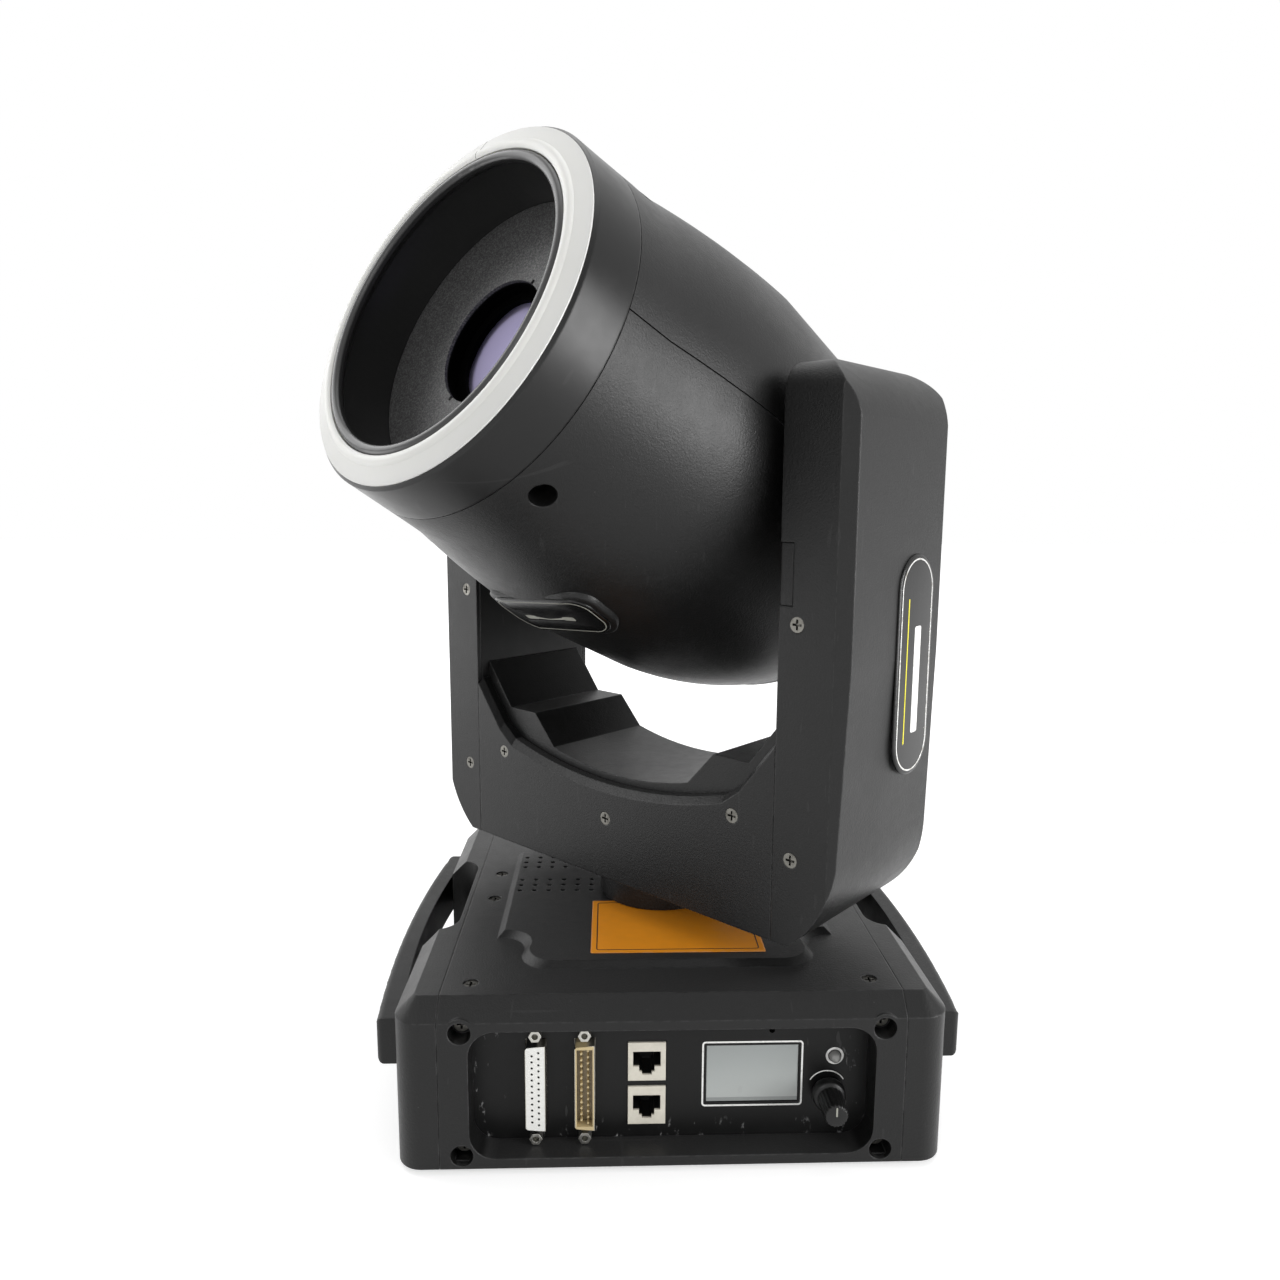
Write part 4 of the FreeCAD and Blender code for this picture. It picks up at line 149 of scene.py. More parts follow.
# Head badge: its place round and along the barrel, and its layers
HEAD_BADGE_ANGLE = math.radians(-87.0)
HEAD_BADGE_L = 46.0
HEAD_BADGE_R = 100.0
HEAD_BADGE_SIZE = (58.0, 29.0)
HEAD_BADGE_CORNER = 10.5
HEAD_BADGE_CROWN = 1.8
HEAD_BADGE_DOME = ((0, 0.6), (0, 1.0), (0.3, 1.25), (1.0, 1.35), (5, 1.35), (10, 1.35))
HEAD_PAD_MARGIN = 2.5
HEAD_PAD_CORNER = 12.0
HEAD_PAD_LEVELS = ((0, -1.0), (0, 0.3), (0.4, 0.6), (1.1, 0.8), (6, 0.8), (11, 0.8))
HEAD_KEYLINE_INSET = 1.7
HEAD_KEYLINE_CORNER = 8.8
HEAD_KEYLINE = 0.4
HEAD_KEYLINE_LIFT = (1.3, 1.44)
HEAD_BAR_SIZE = (30.0, 3.0)
HEAD_BAR_CORNER = 0.8
HEAD_BAR_LEVELS = ((0, 1.3), (0, 1.46), (0.9, 1.48))

# Butt joint of the light ring
TUBE_JOINT_ANGLE = math.radians(97.0)
JOINT_LINE = 0.3
JOINT_STEPS = 24
JOINT_MARGIN = 0.15
JOINT_SUNK = -0.3
JOINT_PROUD = 0.04


def node_box_mm(node):
    low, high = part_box(node)
    return low / MM, high / MM


def node_middle_mm(node):
    low, high = node_box_mm(node)
    return (low + high) / 2


# Node helpers

def feed(tree, value, socket):
    """Link a socket to the input, or set the input's own value."""
    if isinstance(value, bpy.types.NodeSocket):
        tree.links.new(value, socket)
    else:
        socket.default_value = value


def wire(tree, node, **values):
    """Feed a node; a value's name is a socket's name in lower case, or one of the node's own properties."""
    sockets = {s.name.lower().replace(" ", "_"): s for s in reversed(node.inputs)}
    for name, value in values.items():
        if name in sockets:
            feed(tree, value, sockets[name])
        else:
            setattr(node, name, value)
    return node


def add_node(tree, kind, **values):
    return wire(tree, tree.nodes.new(kind), **values)


def maths(tree, operation, a, b=0.0):
    node = add_node(tree, "ShaderNodeMath", operation=operation)
    feed(tree, a, node.inputs[0])
    feed(tree, b, node.inputs[1])
    return node.outputs[0]


def times(tree, a, b):
    return maths(tree, "MULTIPLY", a, b)


def off_from(tree, value, middle):
    """Distance of a value from a middle."""
    return maths(tree, "ABSOLUTE", maths(tree, "SUBTRACT", value, middle))


def vectors(tree, operation, a, b=(0.0, 0.0, 0.0), scale=1.0):
    """Vector maths node; the output is the value of a dot product or length, and otherwise the vector."""
    node = add_node(tree, "ShaderNodeVectorMath", operation=operation)
    feed(tree, a, node.inputs[0])
    feed(tree, b, node.inputs[1])
    feed(tree, scale, node.inputs[3])
    return node.outputs[1 if operation in ("DOT_PRODUCT", "LENGTH") else 0]


def ramp(tree, value, start, end, low=0.0, high=1.0):
    """Smooth step of a value from start to end, between low and high."""
    node = add_node(tree, "ShaderNodeMapRange", interpolation_type="SMOOTHSTEP", value=value,
                    from_min=start, from_max=end, to_min=low, to_max=high)
    return node.outputs["Result"]


def mixed(tree, kind, factor, a, b):
    """Mix node of one kind of data, whose own sockets are those in use."""
    node = add_node(tree, "ShaderNodeMix", data_type=kind)
    feed(tree, factor, node.inputs["Factor"])
    first = {"FLOAT": 2, "VECTOR": 4, "RGBA": 6}[kind]
    feed(tree, a, node.inputs[first])
    feed(tree, b, node.inputs[first + 1])
    return node.outputs[first // 2 - 1]


def mix_value(tree, factor, a, b):
    return mixed(tree, "FLOAT", factor, a, b)


def mix_colour(tree, factor, a, b):
    return mixed(tree, "RGBA", factor, a, b)


def colour(tint, level=1.0):
    """Opaque colour from three linear parts, at a level."""
    return [part * level for part in tint] + [1.0]


def grey(value):
    return (value, value, value, 1.0)


def place_of(tree):
    return add_node(tree, "ShaderNodeTexCoord").outputs["Object"]


def split_place(tree):
    return add_node(tree, "ShaderNodeSeparateXYZ", vector=place_of(tree)).outputs


def stretched(tree, scale, rotation=(0.0, 0.0, 0.0)):
    """The object's own coordinates, turned and stretched."""
    node = add_node(tree, "ShaderNodeMapping", vector=place_of(tree), scale=scale, rotation=rotation)
    return node.outputs["Vector"]


def noise(tree, scale, detail, roughness=0.5, place=None):
    """Noise over the object's own coordinates, or over those that are given."""
    node = add_node(tree, "ShaderNodeTexNoise", vector=place_of(tree) if place is None else place,
                    scale=scale, detail=detail, roughness=roughness)
    return node.outputs["Fac"]


def spread(tree, texture, low, high):
    """A noise's usual range, taken to low and high."""
    return ramp(tree, texture, 0.3, 0.7, low, high)


# Shared effects, each a node group built once

def new_group(name, inputs, outputs):
    tree = bpy.data.node_groups.new(name, "ShaderNodeTree")
    for label, default in inputs:
        socket = tree.interface.new_socket(label, in_out="INPUT", socket_type="NodeSocketFloat")
        socket.default_value = default
    for label, kind in outputs:
        tree.interface.new_socket(label, in_out="OUTPUT", socket_type=kind)
    return tree, tree.nodes.new("NodeGroupInput").outputs, tree.nodes.new("NodeGroupOutput").inputs


def build_grain():
    """Pebbled texture of a spark-eroded mould, with slow changes of gloss."""
    tree, given, out = new_group("mould_grain", [("Scale", 1500.0)],
                                 [("Height", "NodeSocketFloat"), ("Gloss", "NodeSocketFloat")])
    pebble = noise(tree, given["Scale"], detail=2.0, roughness=0.55)
    fine = noise(tree, times(tree, given["Scale"], 3.1), detail=1.0)
    coarse = noise(tree, times(tree, given["Scale"], 0.6), detail=1.0)
    close = mix_value(tree, 0.3, pebble, fine)
    feed(tree, mix_value(tree, 0.35, close, coarse), out["Height"])
    slow = noise(tree, 26.0, detail=3.0)
    patch = noise(tree, 210.0, detail=2.0)
    feed(tree, mix_value(tree, 0.35, slow, patch), out["Gloss"])
    return tree


def build_edges():
    """Rounded shading normal at a solid's edges, and a broken mask along them, used both for wear and for painted
    highlight.
    """
    tree, given, out = new_group("edge_wear", [("Radius", 0.0006), ("Wear", 0.5)],
                                 [("Normal", "NodeSocketVector"), ("Mask", "NodeSocketFloat")])
    rounded = add_node(tree, "ShaderNodeBevel", samples=4, radius=given["Radius"]).outputs["Normal"]
    flat = add_node(tree, "ShaderNodeNewGeometry").outputs["Normal"]
    edge = ramp(tree, vectors(tree, "DOT_PRODUCT", rounded, flat), 0.995, 0.86)
    rub = noise(tree, 240.0, detail=5.0, roughness=0.65)
    broken = ramp(tree, rub, 0.36, 0.62)
    feed(tree, times(tree, times(tree, edge, broken), given["Wear"]), out["Mask"])
    feed(tree, rounded, out["Normal"])
    return tree


def build_dust():
    """Sparse pale specks, and hair-fine scratches in two directions."""
    tree, given, out = new_group("dust_and_scratches", [("Specks", 0.5), ("Scratches", 0.5)],
                                 [("Mask", "NodeSocketFloat")])
    cells = add_node(tree, "ShaderNodeTexVoronoi", vector=place_of(tree), scale=190.0, randomness=1.0)
    small = ramp(tree, cells.outputs["Distance"], 0.055, 0.03)
    pick = add_node(tree, "ShaderNodeSeparateColor", color=cells.outputs["Color"])
    chosen = ramp(tree, pick.outputs["Red"], 0.86, 0.93)
    total = times(tree, times(tree, small, chosen), given["Specks"])
    for stretch in ((14.0, 420.0, 60.0), (300.0, 22.0, 75.0)):
        streak = noise(tree, 1.0, detail=1.0, place=stretched(tree, stretch, (0.3, 0.5, 0.7)))
        line = ramp(tree, streak, 0.735, 0.77)
        total = maths(tree, "MAXIMUM", total, times(tree, line, given["Scratches"]))
    feed(tree, total, out["Mask"])
    return tree


GRAIN = build_grain()
EDGES = build_edges()
DUST = build_dust()


def effect(tree, group, **values):
    node = add_node(tree, "ShaderNodeGroup", node_tree=group)
    return wire(tree, node, **values).outputs


def edge_normal(tree, radius):
    return effect(tree, EDGES, radius=radius)["Normal"]


# Tones of the finishes as linear greys or colours, gloss as a (low, high) pair of roughness
CASE_TONE = 0.0045
CASE_GLOSS = (0.34, 0.42)
# Pale cover on faces that look up: partly dust, partly painted light from above
TOP_DUST_AND_LIGHT_TONE = 0.045
DUST_TONE = 0.32
SCREW_TONE = (0.17, 0.165, 0.15)
SCREW_TARNISH = (0.08, 0.077, 0.068)
SCREW_GLOSS = (0.28, 0.4)
JACKSCREW_TONE = (0.62, 0.61, 0.57)
D_SHELL_TONE = (0.46, 0.44, 0.39)
JACK_TONES = ((0.50, 0.47, 0.40), (0.72, 0.69, 0.60))
TUBE_TONES = ((0.73, 0.73, 0.70), (0.77, 0.77, 0.745))
WINDOW_TONES = ((0.66, 0.60, 0.94), (0.72, 0.66, 0.98))
DISPLAY_TONES = ((0.40, 0.42, 0.41), (0.27, 0.29, 0.285))
DISPLAY_STRIP_TONE = (0.24, 0.255, 0.25)
# Inside of the hood: painted light
HOOD_PAINTED_LIGHT_TONE = 0.022
# Bezel lip: painted reflection
LIP_PAINTED_REFLECTION_TONE = 0.05
LIP_ROUGHNESS = 0.22
BAFFLE_TONES = (0.028, 0.13)
GLUE_TONE = 0.42

# Sizes of the finishes, in metres
SOFT_EDGE = 0.0003
JACKSCREW_SPAN = (0.0062, 0.0058)
# Depth and fade of the painted shade inside the network jacks
JACK_FACE = 0.0006
JACK_FADE = 0.0008
HOOD_FADE = 0.0006
LIP_REACH = 0.0018
# Depths behind the baffle's face where its painted bore shade starts and is full
BORE_SPAN = (0.0008, 0.002)
GLUE_SIDE_SPAN = (0.024, 0.012)
GLUE_LOW_SPAN = (0.012, 0.004)
SEAM_HALF = 0.0003
SEAM_DEPTH = 0.0004

# Shares of a D connector's flange that its shell takes across and upwards, and of the display its low strip
D_SHELL_SHARE = (0.60, 0.72)
DISPLAY_STRIP_SHARE = 0.17

# Lean of the barrel's surface towards its front end, and the stretches along the beam where it changes
MOUTH_LEAN = 0.11
FLARE_LEAN = 0.11
REAR_LEAN = 0.32
FLARE_SPAN = (0.119, 0.084)
BELLY_SPAN = (0.080, 0.004)
REAR_SPAN = (-0.030, -0.090)


def new_finish(name):
    material = bpy.data.materials.new(name)
    material.use_nodes = True
    return material, material.node_tree, material.node_tree.nodes["Principled BSDF"]


def shader_of(material):
    return material.node_tree, material.node_tree.nodes["Principled BSDF"]


def relief(tree, shader, height, depth, strength=1.0, normal=None):
    """Bump of a height on a shader, over another normal where one is given."""
    bump = add_node(tree, "ShaderNodeBump", strength=strength, distance=depth, height=height)
    if normal is not None:
        feed(tree, normal, bump.inputs["Normal"])
    feed(tree, bump.outputs["Normal"], shader.inputs["Normal"])
    return bump


def paint_over(tree, shader, mask, base_color=None, roughness=None):
    """Mix a colour, a roughness or both over what feeds a shader, where the mask is one."""
    for label, value, mix in (("Base Color", base_color, mix_colour), ("Roughness", roughness, mix_value)):
        if value is not None:
            before = shader.inputs[label].links[0].from_socket
            feed(tree, mix(tree, mask, before, value), shader.inputs[label])


def moulded(name, tone, gloss, grain_scale=1500.0, grain_depth=0.00018, edge=0.0009, wear=0.25,
            wear_and_highlight_tone=0.07, specks=0.35, scratches=0.06, tint=(1.0, 1.0, 1.0), specular=0.30, film=0.0):
    """Moulded or painted surface: grain, gloss patches, paler edges that are partly wear and partly painted
    highlight, and dust.
    Film is a pale cover on faces that look up: partly dust, partly painted light from above."""
    material, tree, shader = new_finish(name)
    grain = effect(tree, GRAIN, scale=grain_scale)
    edges = effect(tree, EDGES, radius=edge, wear=wear)
    dust = effect(tree, DUST, specks=specks, scratches=scratches)
    base = mix_colour(tree, grain["Gloss"], colour(tint, tone * 0.85), colour(tint, tone * 1.15))
    facing = add_node(tree, "ShaderNodeTexCoord").outputs["Normal"]
    upward = add_node(tree, "ShaderNodeSeparateXYZ", vector=facing).outputs["Z"]
    # Faces that look up turn paler: partly dust, partly painted light from above.
    dusted_and_top_lit = mix_colour(tree, ramp(tree, upward, 0.8, 0.97, 0.0, film), base, grey(TOP_DUST_AND_LIGHT_TONE))
    # Edges turn paler: partly wear, partly painted highlight along them.
    worn_and_highlit = mix_colour(tree, edges["Mask"], dusted_and_top_lit, grey(wear_and_highlight_tone))
    dusty = mix_colour(tree, times(tree, dust["Mask"], 0.35), worn_and_highlit, grey(DUST_TONE))
    matt = maths(tree, "ADD", spread(tree, grain["Gloss"], *gloss), times(tree, dust["Mask"], 0.15))
    wire(tree, shader, base_color=dusty, roughness=matt, specular_ior_level=specular)
    relief(tree, shader, grain["Height"], grain_depth, normal=edges["Normal"])
    return material


def metal(name, tone, gloss, tarnish=(0.35, 0.33, 0.29)):
    """Plated or machined metal with fine brush lines, dull patches and painted shade in its recesses."""
    material, tree, shader = new_finish(name)
    brushed = noise(tree, 4.0, detail=3.0, place=stretched(tree, (900.0, 60.0, 60.0)))
    patches = noise(tree, 320.0, detail=4.0, roughness=0.6)
    dull = ramp(tree, patches, 0.45, 0.75)
    plate = mix_colour(tree, dull, colour(tone), colour(tarnish))
    # Painted shade: ambient occlusion darkens the colour towards near black in recesses and creases.
    recess_occlusion = add_node(tree, "ShaderNodeAmbientOcclusion", samples=4, distance=0.0012)
    painted_recess_shade = ramp(tree, recess_occlusion.outputs["AO"], 0.75, 0.35)
    wire(tree, shader, metallic=1.0, base_color=mix_colour(tree, painted_recess_shade, plate, grey(0.01)),
         roughness=maths(tree, "ADD", spread(tree, brushed, *gloss), times(tree, dull, 0.12)))
    relief(tree, shader, brushed, 0.00002, 0.3, edge_normal(tree, 0.00025))
    return material


def base_screw_plate(name):
    """Dark plated screws; the connectors' jackscrews are bright."""
    material = metal(name, SCREW_TONE, SCREW_GLOSS, SCREW_TARNISH)
    tree, shader = shader_of(material)
    place = split_place(tree)
    front = ramp(tree, place["Y"], 0.0, -0.01)
    jack = 0.0
    for node in ("db25_female", "db25_male"):
        low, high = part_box(node)
        off = off_from(tree, place["X"], (low.x + high.x) / 2)
        jack = maths(tree, "MAXIMUM", jack, ramp(tree, off, *JACKSCREW_SPAN))
    bright = times(tree, times(tree, jack, front), 0.6)
    paint_over(tree, shader, bright, colour(JACKSCREW_TONE))
    return material


def behind(tree, face, fade=0.0002):
    """One where a point lies behind the given Y: the inside of a socket seen from the front."""
    return ramp(tree, split_place(tree)["Y"], face, face + fade)


def box_mask(tree, centre, half):
    """One inside an upright rectangle in X and Z about a centre."""
    place = split_place(tree)
    across = off_from(tree, place["X"], centre.x)
    tall = off_from(tree, place["Z"], centre.z)
    return times(tree, ramp(tree, across, half[0] + SOFT_EDGE, half[0]),
                 ramp(tree, tall, half[1] + SOFT_EDGE, half[1]))


def d_socket(name, node, face_tone, depth_shade_tone, floor_depth):
    """D connector: a plated shell round an insert, with painted shade: the insert takes a darker tone behind a
    given depth below its face.
    """
    material, tree, shader = new_finish(name)
    low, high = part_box(node)
    half = (high - low) / 2
    inside = box_mask(tree, low + half, (half.x * D_SHELL_SHARE[0], half.z * D_SHELL_SHARE[1]))
    speck = noise(tree, 900.0, detail=3.0)
    face = mix_colour(tree, speck, colour(face_tone, 0.9), colour(face_tone))
    # Painted shade inside the holes: a darker tone behind the given depth.
    insert = mix_colour(tree, behind(tree, low.y + floor_depth), face, colour(depth_shade_tone))
    wire(tree, shader, base_color=mix_colour(tree, inside, colour(D_SHELL_TONE), insert),
         metallic=maths(tree, "SUBTRACT", 1.0, inside), roughness=mix_value(tree, inside, 0.3, 0.4),
         normal=edge_normal(tree, 0.0002))
    return material


def network_jack(name):
    """Pale moulded jacks, with painted shade inside their openings."""
    material, tree, shader = new_finish(name)
    low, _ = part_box("rj45_jacks")
    # Painted shade: near black behind the jacks' front faces.
    jack_inner_shade = behind(tree, low.y + JACK_FACE, JACK_FADE)
    speck = noise(tree, 300.0, detail=4.0)
    face = mix_colour(tree, speck, *map(colour, JACK_TONES))
    wire(tree, shader, base_color=mix_colour(tree, jack_inner_shade, face, grey(0.004)),
         roughness=spread(tree, speck, 0.32, 0.45), normal=edge_normal(tree, 0.0004))
    return material


def milky_tube(name):
    """Silicone light tube: pale and slightly see-into, with the faintest flow marks."""
    material, tree, shader = new_finish(name)
    flow = noise(tree, 30.0, detail=2.0)
    wire(tree, shader, base_color=mix_colour(tree, flow, *map(colour, TUBE_TONES)),
         roughness=spread(tree, flow, 0.40, 0.48), subsurface_weight=0.25, subsurface_scale=1.0,
         subsurface_radius=(0.004, 0.004, 0.0035))
    relief(tree, shader, noise(tree, 700.0, detail=2.0), 0.00004, 0.2)
    return material


def from_pivot(tree):
    return vectors(tree, "SUBTRACT", place_of(tree), PIVOT)


def along_beam(tree):
    """Distance in front of the tilt axis along the beam, in metres."""
    return vectors(tree, "DOT_PRODUCT", from_pivot(tree), BEAM)


def off_beam(tree):
    """Distance from the beam's line, in metres."""
    return vectors(tree, "LENGTH", vectors(tree, "CROSS_PRODUCT", from_pivot(tree), BEAM))


def radius_of(node):
    """Outer radius of a round solid about the beam, in metres."""
    return max((v.co - PIVOT).cross(BEAM).length for v in frame["nodes"][node].data.vertices)


def front_of(node):
    """How far a solid of the head reaches in front of the tilt axis, in metres."""
    return max((v.co - PIVOT).dot(BEAM) for v in frame["nodes"][node].data.vertices)


def hood_and_bezel(name):
    """Smooth black bezel, painted paler inside its hood as painted light, ending in a glossy lip painted grey as a
    painted reflection.
    """
    material = moulded(name, CASE_TONE, (0.28, 0.36), grain_scale=2600.0, grain_depth=0.00002)
    tree, shader = shader_of(material)
    hood_radius = radius_of("front_baffle")
    inside = ramp(tree, off_beam(tree), hood_radius + HOOD_FADE, hood_radius)
    # Painted light: the inside of the hood, the same black moulding, takes a paler grey.
    paint_over(tree, shader, inside, grey(HOOD_PAINTED_LIGHT_TONE))
    lip_start = front_of("head_bezel") - LIP_REACH
    lip = ramp(tree, along_beam(tree), lip_start, lip_start + SOFT_EDGE)
    # Painted reflection: the black lip takes a paler grey for the light it reflects.
    paint_over(tree, shader, lip, grey(LIP_PAINTED_REFLECTION_TONE), LIP_ROUGHNESS)
    return material


def turned_normal(tree, solid_normal):
    """Normal of the barrel as one smooth turned surface, wherever that agrees with the solid's own."""
    along = along_beam(tree)
    radial = vectors(tree, "SUBTRACT", from_pivot(tree), vectors(tree, "SCALE", BEAM, scale=along))
    flare = ramp(tree, along, *FLARE_SPAN, MOUTH_LEAN, MOUTH_LEAN + FLARE_LEAN)
    belly = ramp(tree, along, *BELLY_SPAN, 0.0, MOUTH_LEAN + FLARE_LEAN)
    rear = ramp(tree, along, *REAR_SPAN, 0.0, REAR_LEAN)
    lean = maths(tree, "SUBTRACT", maths(tree, "SUBTRACT", flare, belly), rear)
    leaning = vectors(tree, "SCALE", BEAM, scale=lean)
    sloped = vectors(tree, "ADD", vectors(tree, "NORMALIZE", radial), leaning)
    turned = add_node(tree, "ShaderNodeVectorTransform", vector_type="NORMAL", convert_from="OBJECT",
                      convert_to="WORLD", vector=vectors(tree, "NORMALIZE", sloped)).outputs[0]
    agree = ramp(tree, vectors(tree, "DOT_PRODUCT", turned, solid_normal), 0.93, 0.975)
    return mixed(tree, "VECTOR", agree, solid_normal, turned)


def barrel_moulding(name):
    """Case moulding turned smooth, with the dark joints between the two halves and at the bezel."""
    material = moulded(name, CASE_TONE, CASE_GLOSS)
    tree, shader = shader_of(material)
    grain = shader.inputs["Normal"].links[0].from_node
    solid_normal = grain.inputs["Normal"].links[0].from_socket
    feed(tree, turned_normal(tree, solid_normal), grain.inputs["Normal"])
    off = maths(tree, "ABSOLUTE", vectors(tree, "DOT_PRODUCT", from_pivot(tree), HEAD_UP))
    mouth = maths(tree, "SUBTRACT", front_of("lower_shell"), along_beam(tree))
    seam = ramp(tree, maths(tree, "MINIMUM", off, mouth), SEAM_HALF, SEAM_HALF * 0.4)
    paint_over(tree, shader, seam, grey(0.0005), 1.0)
    feed(tree, seam, shader.inputs["Metallic"])
    relief(tree, shader, seam, SEAM_DEPTH, normal=grain.outputs["Normal"]).invert = True
    return material


def speckled_baffle(name):
    """Front wall of the hood: powder-coat speckle over dark grey, with painted shade in the bore: near black and
    metallic, so it reflects almost nothing.
    """
    material, tree, shader = new_finish(name)
    cells = noise(tree, 1250.0, detail=3.0, roughness=0.7)
    front = front_of("front_baffle")
    # Painted shade in the bore, from a given depth behind the baffle's face.
    bore = ramp(tree, along_beam(tree), front - BORE_SPAN[0], front - BORE_SPAN[1])
    wall = mix_colour(tree, ramp(tree, cells, 0.42, 0.66), *map(grey, BAFFLE_TONES))
    sheen = spread(tree, cells, 0.46, 0.34)
    wire(tree, shader, base_color=mix_colour(tree, bore, wall, grey(0.002)), metallic=bore,
         roughness=mix_value(tree, bore, sheen, 0.95), specular_ior_level=0.6)
    relief(tree, shader, cells, 0.00012, normal=edge_normal(tree, 0.0003))
    return material


def coated_window(name):
    """Exit window: glass with a lavender coating and a trace of dust."""
    material, tree, shader = new_finish(name)
    haze = noise(tree, 60.0, detail=4.0)
    dust = effect(tree, DUST, specks=0.6, scratches=0.0)
    coat = mix_colour(tree, haze, *map(colour, WINDOW_TONES))
    wire(tree, shader, base_color=mix_colour(tree, times(tree, dust["Mask"], 0.5), coat, grey(0.5)),
         roughness=spread(tree, haze, 0.12, 0.18), transmission_weight=0.04, ior=1.5)
    return material


def unlit_display(name):
    """Display glass: pale grey, darker towards its top, with a darker strip along its foot."""
    material, tree, shader = new_finish(name)
    low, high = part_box("lcd_module")
    height = split_place(tree)["Z"]
    cell = mix_colour(tree, ramp(tree, height, low.z, high.z), *map(colour, DISPLAY_TONES))
    strip_top = low.z + (high.z - low.z) * DISPLAY_STRIP_SHARE
    below = ramp(tree, height, strip_top + SOFT_EDGE, strip_top)
    panel = mix_colour(tree, below, cell, colour(DISPLAY_STRIP_TONE))
    dust = effect(tree, DUST, specks=0.8, scratches=0.15)
    haze = noise(tree, 120.0, detail=3.0)
    wire(tree, shader, base_color=mix_colour(tree, times(tree, dust["Mask"], 0.4), panel, grey(0.12)),
         roughness=spread(tree, haze, 0.10, 0.2))
    return material


def panel_film(name):
    """Black printed film with pale scuffs and traces of glue near its edges."""
    material, tree, shader = new_finish(name)
    low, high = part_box("control_panel")
    place = split_place(tree)
    side = ramp(tree, maths(tree, "ABSOLUTE", place["X"]), *(high.x - inset for inset in GLUE_SIDE_SPAN))
    foot = ramp(tree, place["Z"], *(low.z + rise for rise in GLUE_LOW_SPAN))
    near = maths(tree, "MAXIMUM", side, foot)
    smear = stretched(tree, (210.0, 210.0, 90.0), (0.0, 0.6, 0.0))
    glue = noise(tree, 1.0, detail=6.0, roughness=0.7, place=smear)
    marks = times(tree, ramp(tree, glue, 0.60, 0.68), near)
    dust = effect(tree, DUST, specks=0.9, scratches=0.3)
    dirt = maths(tree, "MAXIMUM", times(tree, marks, 0.55), times(tree, dust["Mask"], 0.2))
    grain = effect(tree, GRAIN, scale=2600.0)
    film = mix_colour(tree, grain["Gloss"], grey(0.004), grey(0.006))
    matt = maths(tree, "ADD", spread(tree, grain["Gloss"], 0.36, 0.46), times(tree, dirt, 0.3))
    wire(tree, shader, base_color=mix_colour(tree, dirt, film, grey(GLUE_TONE)), roughness=matt,
         specular_ior_level=0.2)
    relief(tree, shader, grain["Height"], 0.00002, normal=edge_normal(tree, 0.0003))
    return material


def ink(name, tint, gloss=0.45):
    """Screen print: nearly even colour, thin in places."""
    material, tree, shader = new_finish(name)
    thin = noise(tree, 1300.0, detail=3.0)
    cover = ramp(tree, thin, 0.25, 0.5)
    wire(tree, shader, base_color=mix_colour(tree, cover, colour(tint, 0.7), colour(tint)),
         roughness=spread(tree, thin, gloss, gloss + 0.1))
    return material


# Finish of each of the record's material slots, and of the nodes that need one of their own
FINISH = {
    # Paler edges here are partly wear, partly painted highlight; the cover on top is partly dust, partly painted
    # light from above.
    "case_plastic": moulded("satin black moulding", CASE_TONE, CASE_GLOSS, wear=0.45, wear_and_highlight_tone=0.11,
                            film=0.5),
    "bezel_plastic": hood_and_bezel("smooth black bezel"),
    "grip_plastic": moulded("black grip", CASE_TONE, (0.36, 0.46), grain_scale=1800.0),
    "frame_steel": moulded("black powder coat", CASE_TONE, (0.42, 0.52), grain_scale=1900.0,
                           grain_depth=0.00005),
    "foot_rubber": moulded("foot rubber", 0.010, (0.7, 0.8), wear=0.1, specular=0.2),
    "belt_rubber": moulded("belt rubber", 0.014, (0.65, 0.75), wear=0.1, specular=0.25),
    "motor_steel": moulded("motor laminations", 0.02, (0.35, 0.5), wear=0.6, wear_and_highlight_tone=0.3),
    "fan_plastic": moulded("fan moulding", 0.010, (0.4, 0.5)),
    "inlet_plastic": moulded("gloss black inlet", 0.006, (0.16, 0.24), grain_depth=0.00001),
    "rocker_plastic": moulded("rocker moulding", 0.007, (0.2, 0.28), grain_depth=0.00001),
    "knob_plastic": moulded("knob moulding", 0.005, (0.32, 0.42), grain_scale=2600.0,
                            grain_depth=0.00003),
    "board": moulded("solder mask", 0.06, (0.25, 0.35), tint=(0.25, 1.0, 0.45), wear=0.1),
    "panel_film": panel_film("printed panel film"),
    "plated_steel": metal("dark nickel plate", SCREW_TONE, SCREW_GLOSS, SCREW_TARNISH),
    "machined_alloy": metal("machined alloy", (0.68, 0.68, 0.69), (0.26, 0.42)),
    "bearing_steel": metal("ground steel", (0.56, 0.56, 0.56), (0.18, 0.3)),
    "supply_steel": metal("galvanised case", (0.52, 0.53, 0.54), (0.35, 0.5)),
    "light_tube": milky_tube("milky tube"),
    "window_glass": coated_window("lavender window"),
    "baffle_plastic": speckled_baffle("speckled baffle"),
    "lcd_glass": unlit_display("unlit display"),
    "led_lens": ink("clear lens", (0.24, 0.24, 0.23), 0.12),
    "db_female": d_socket("white d socket", "db25_female", (0.80, 0.80, 0.77), (0.012, 0.012, 0.012),
                          0.0003),
    "db_male": d_socket("tan d plug", "db25_male", (0.55, 0.44, 0.24), (0.26, 0.21, 0.13), 0.0042),
    "jack_plastic": network_jack("pale jacks"),
}
BARREL = barrel_moulding("turned barrel moulding")
NODE_FINISH = {
    "upper_shell": BARREL,
    "lower_shell": BARREL,
    "base_screws": base_screw_plate("base screws"),
}
WHITE_INK = ink("white print", (0.80, 0.80, 0.78))
DIM_INK = ink("dim print", (0.30, 0.30, 0.26))
YELLOW_INK = ink("yellow print", (0.75, 0.68, 0.02))
STICKER_INK = ink("sticker line", (0.03, 0.02, 0.015))
JOINT_GREY = ink("tube joint", (0.22, 0.22, 0.21))
SILVER = metal("silver keyline", (0.78, 0.78, 0.76), (0.2, 0.3))
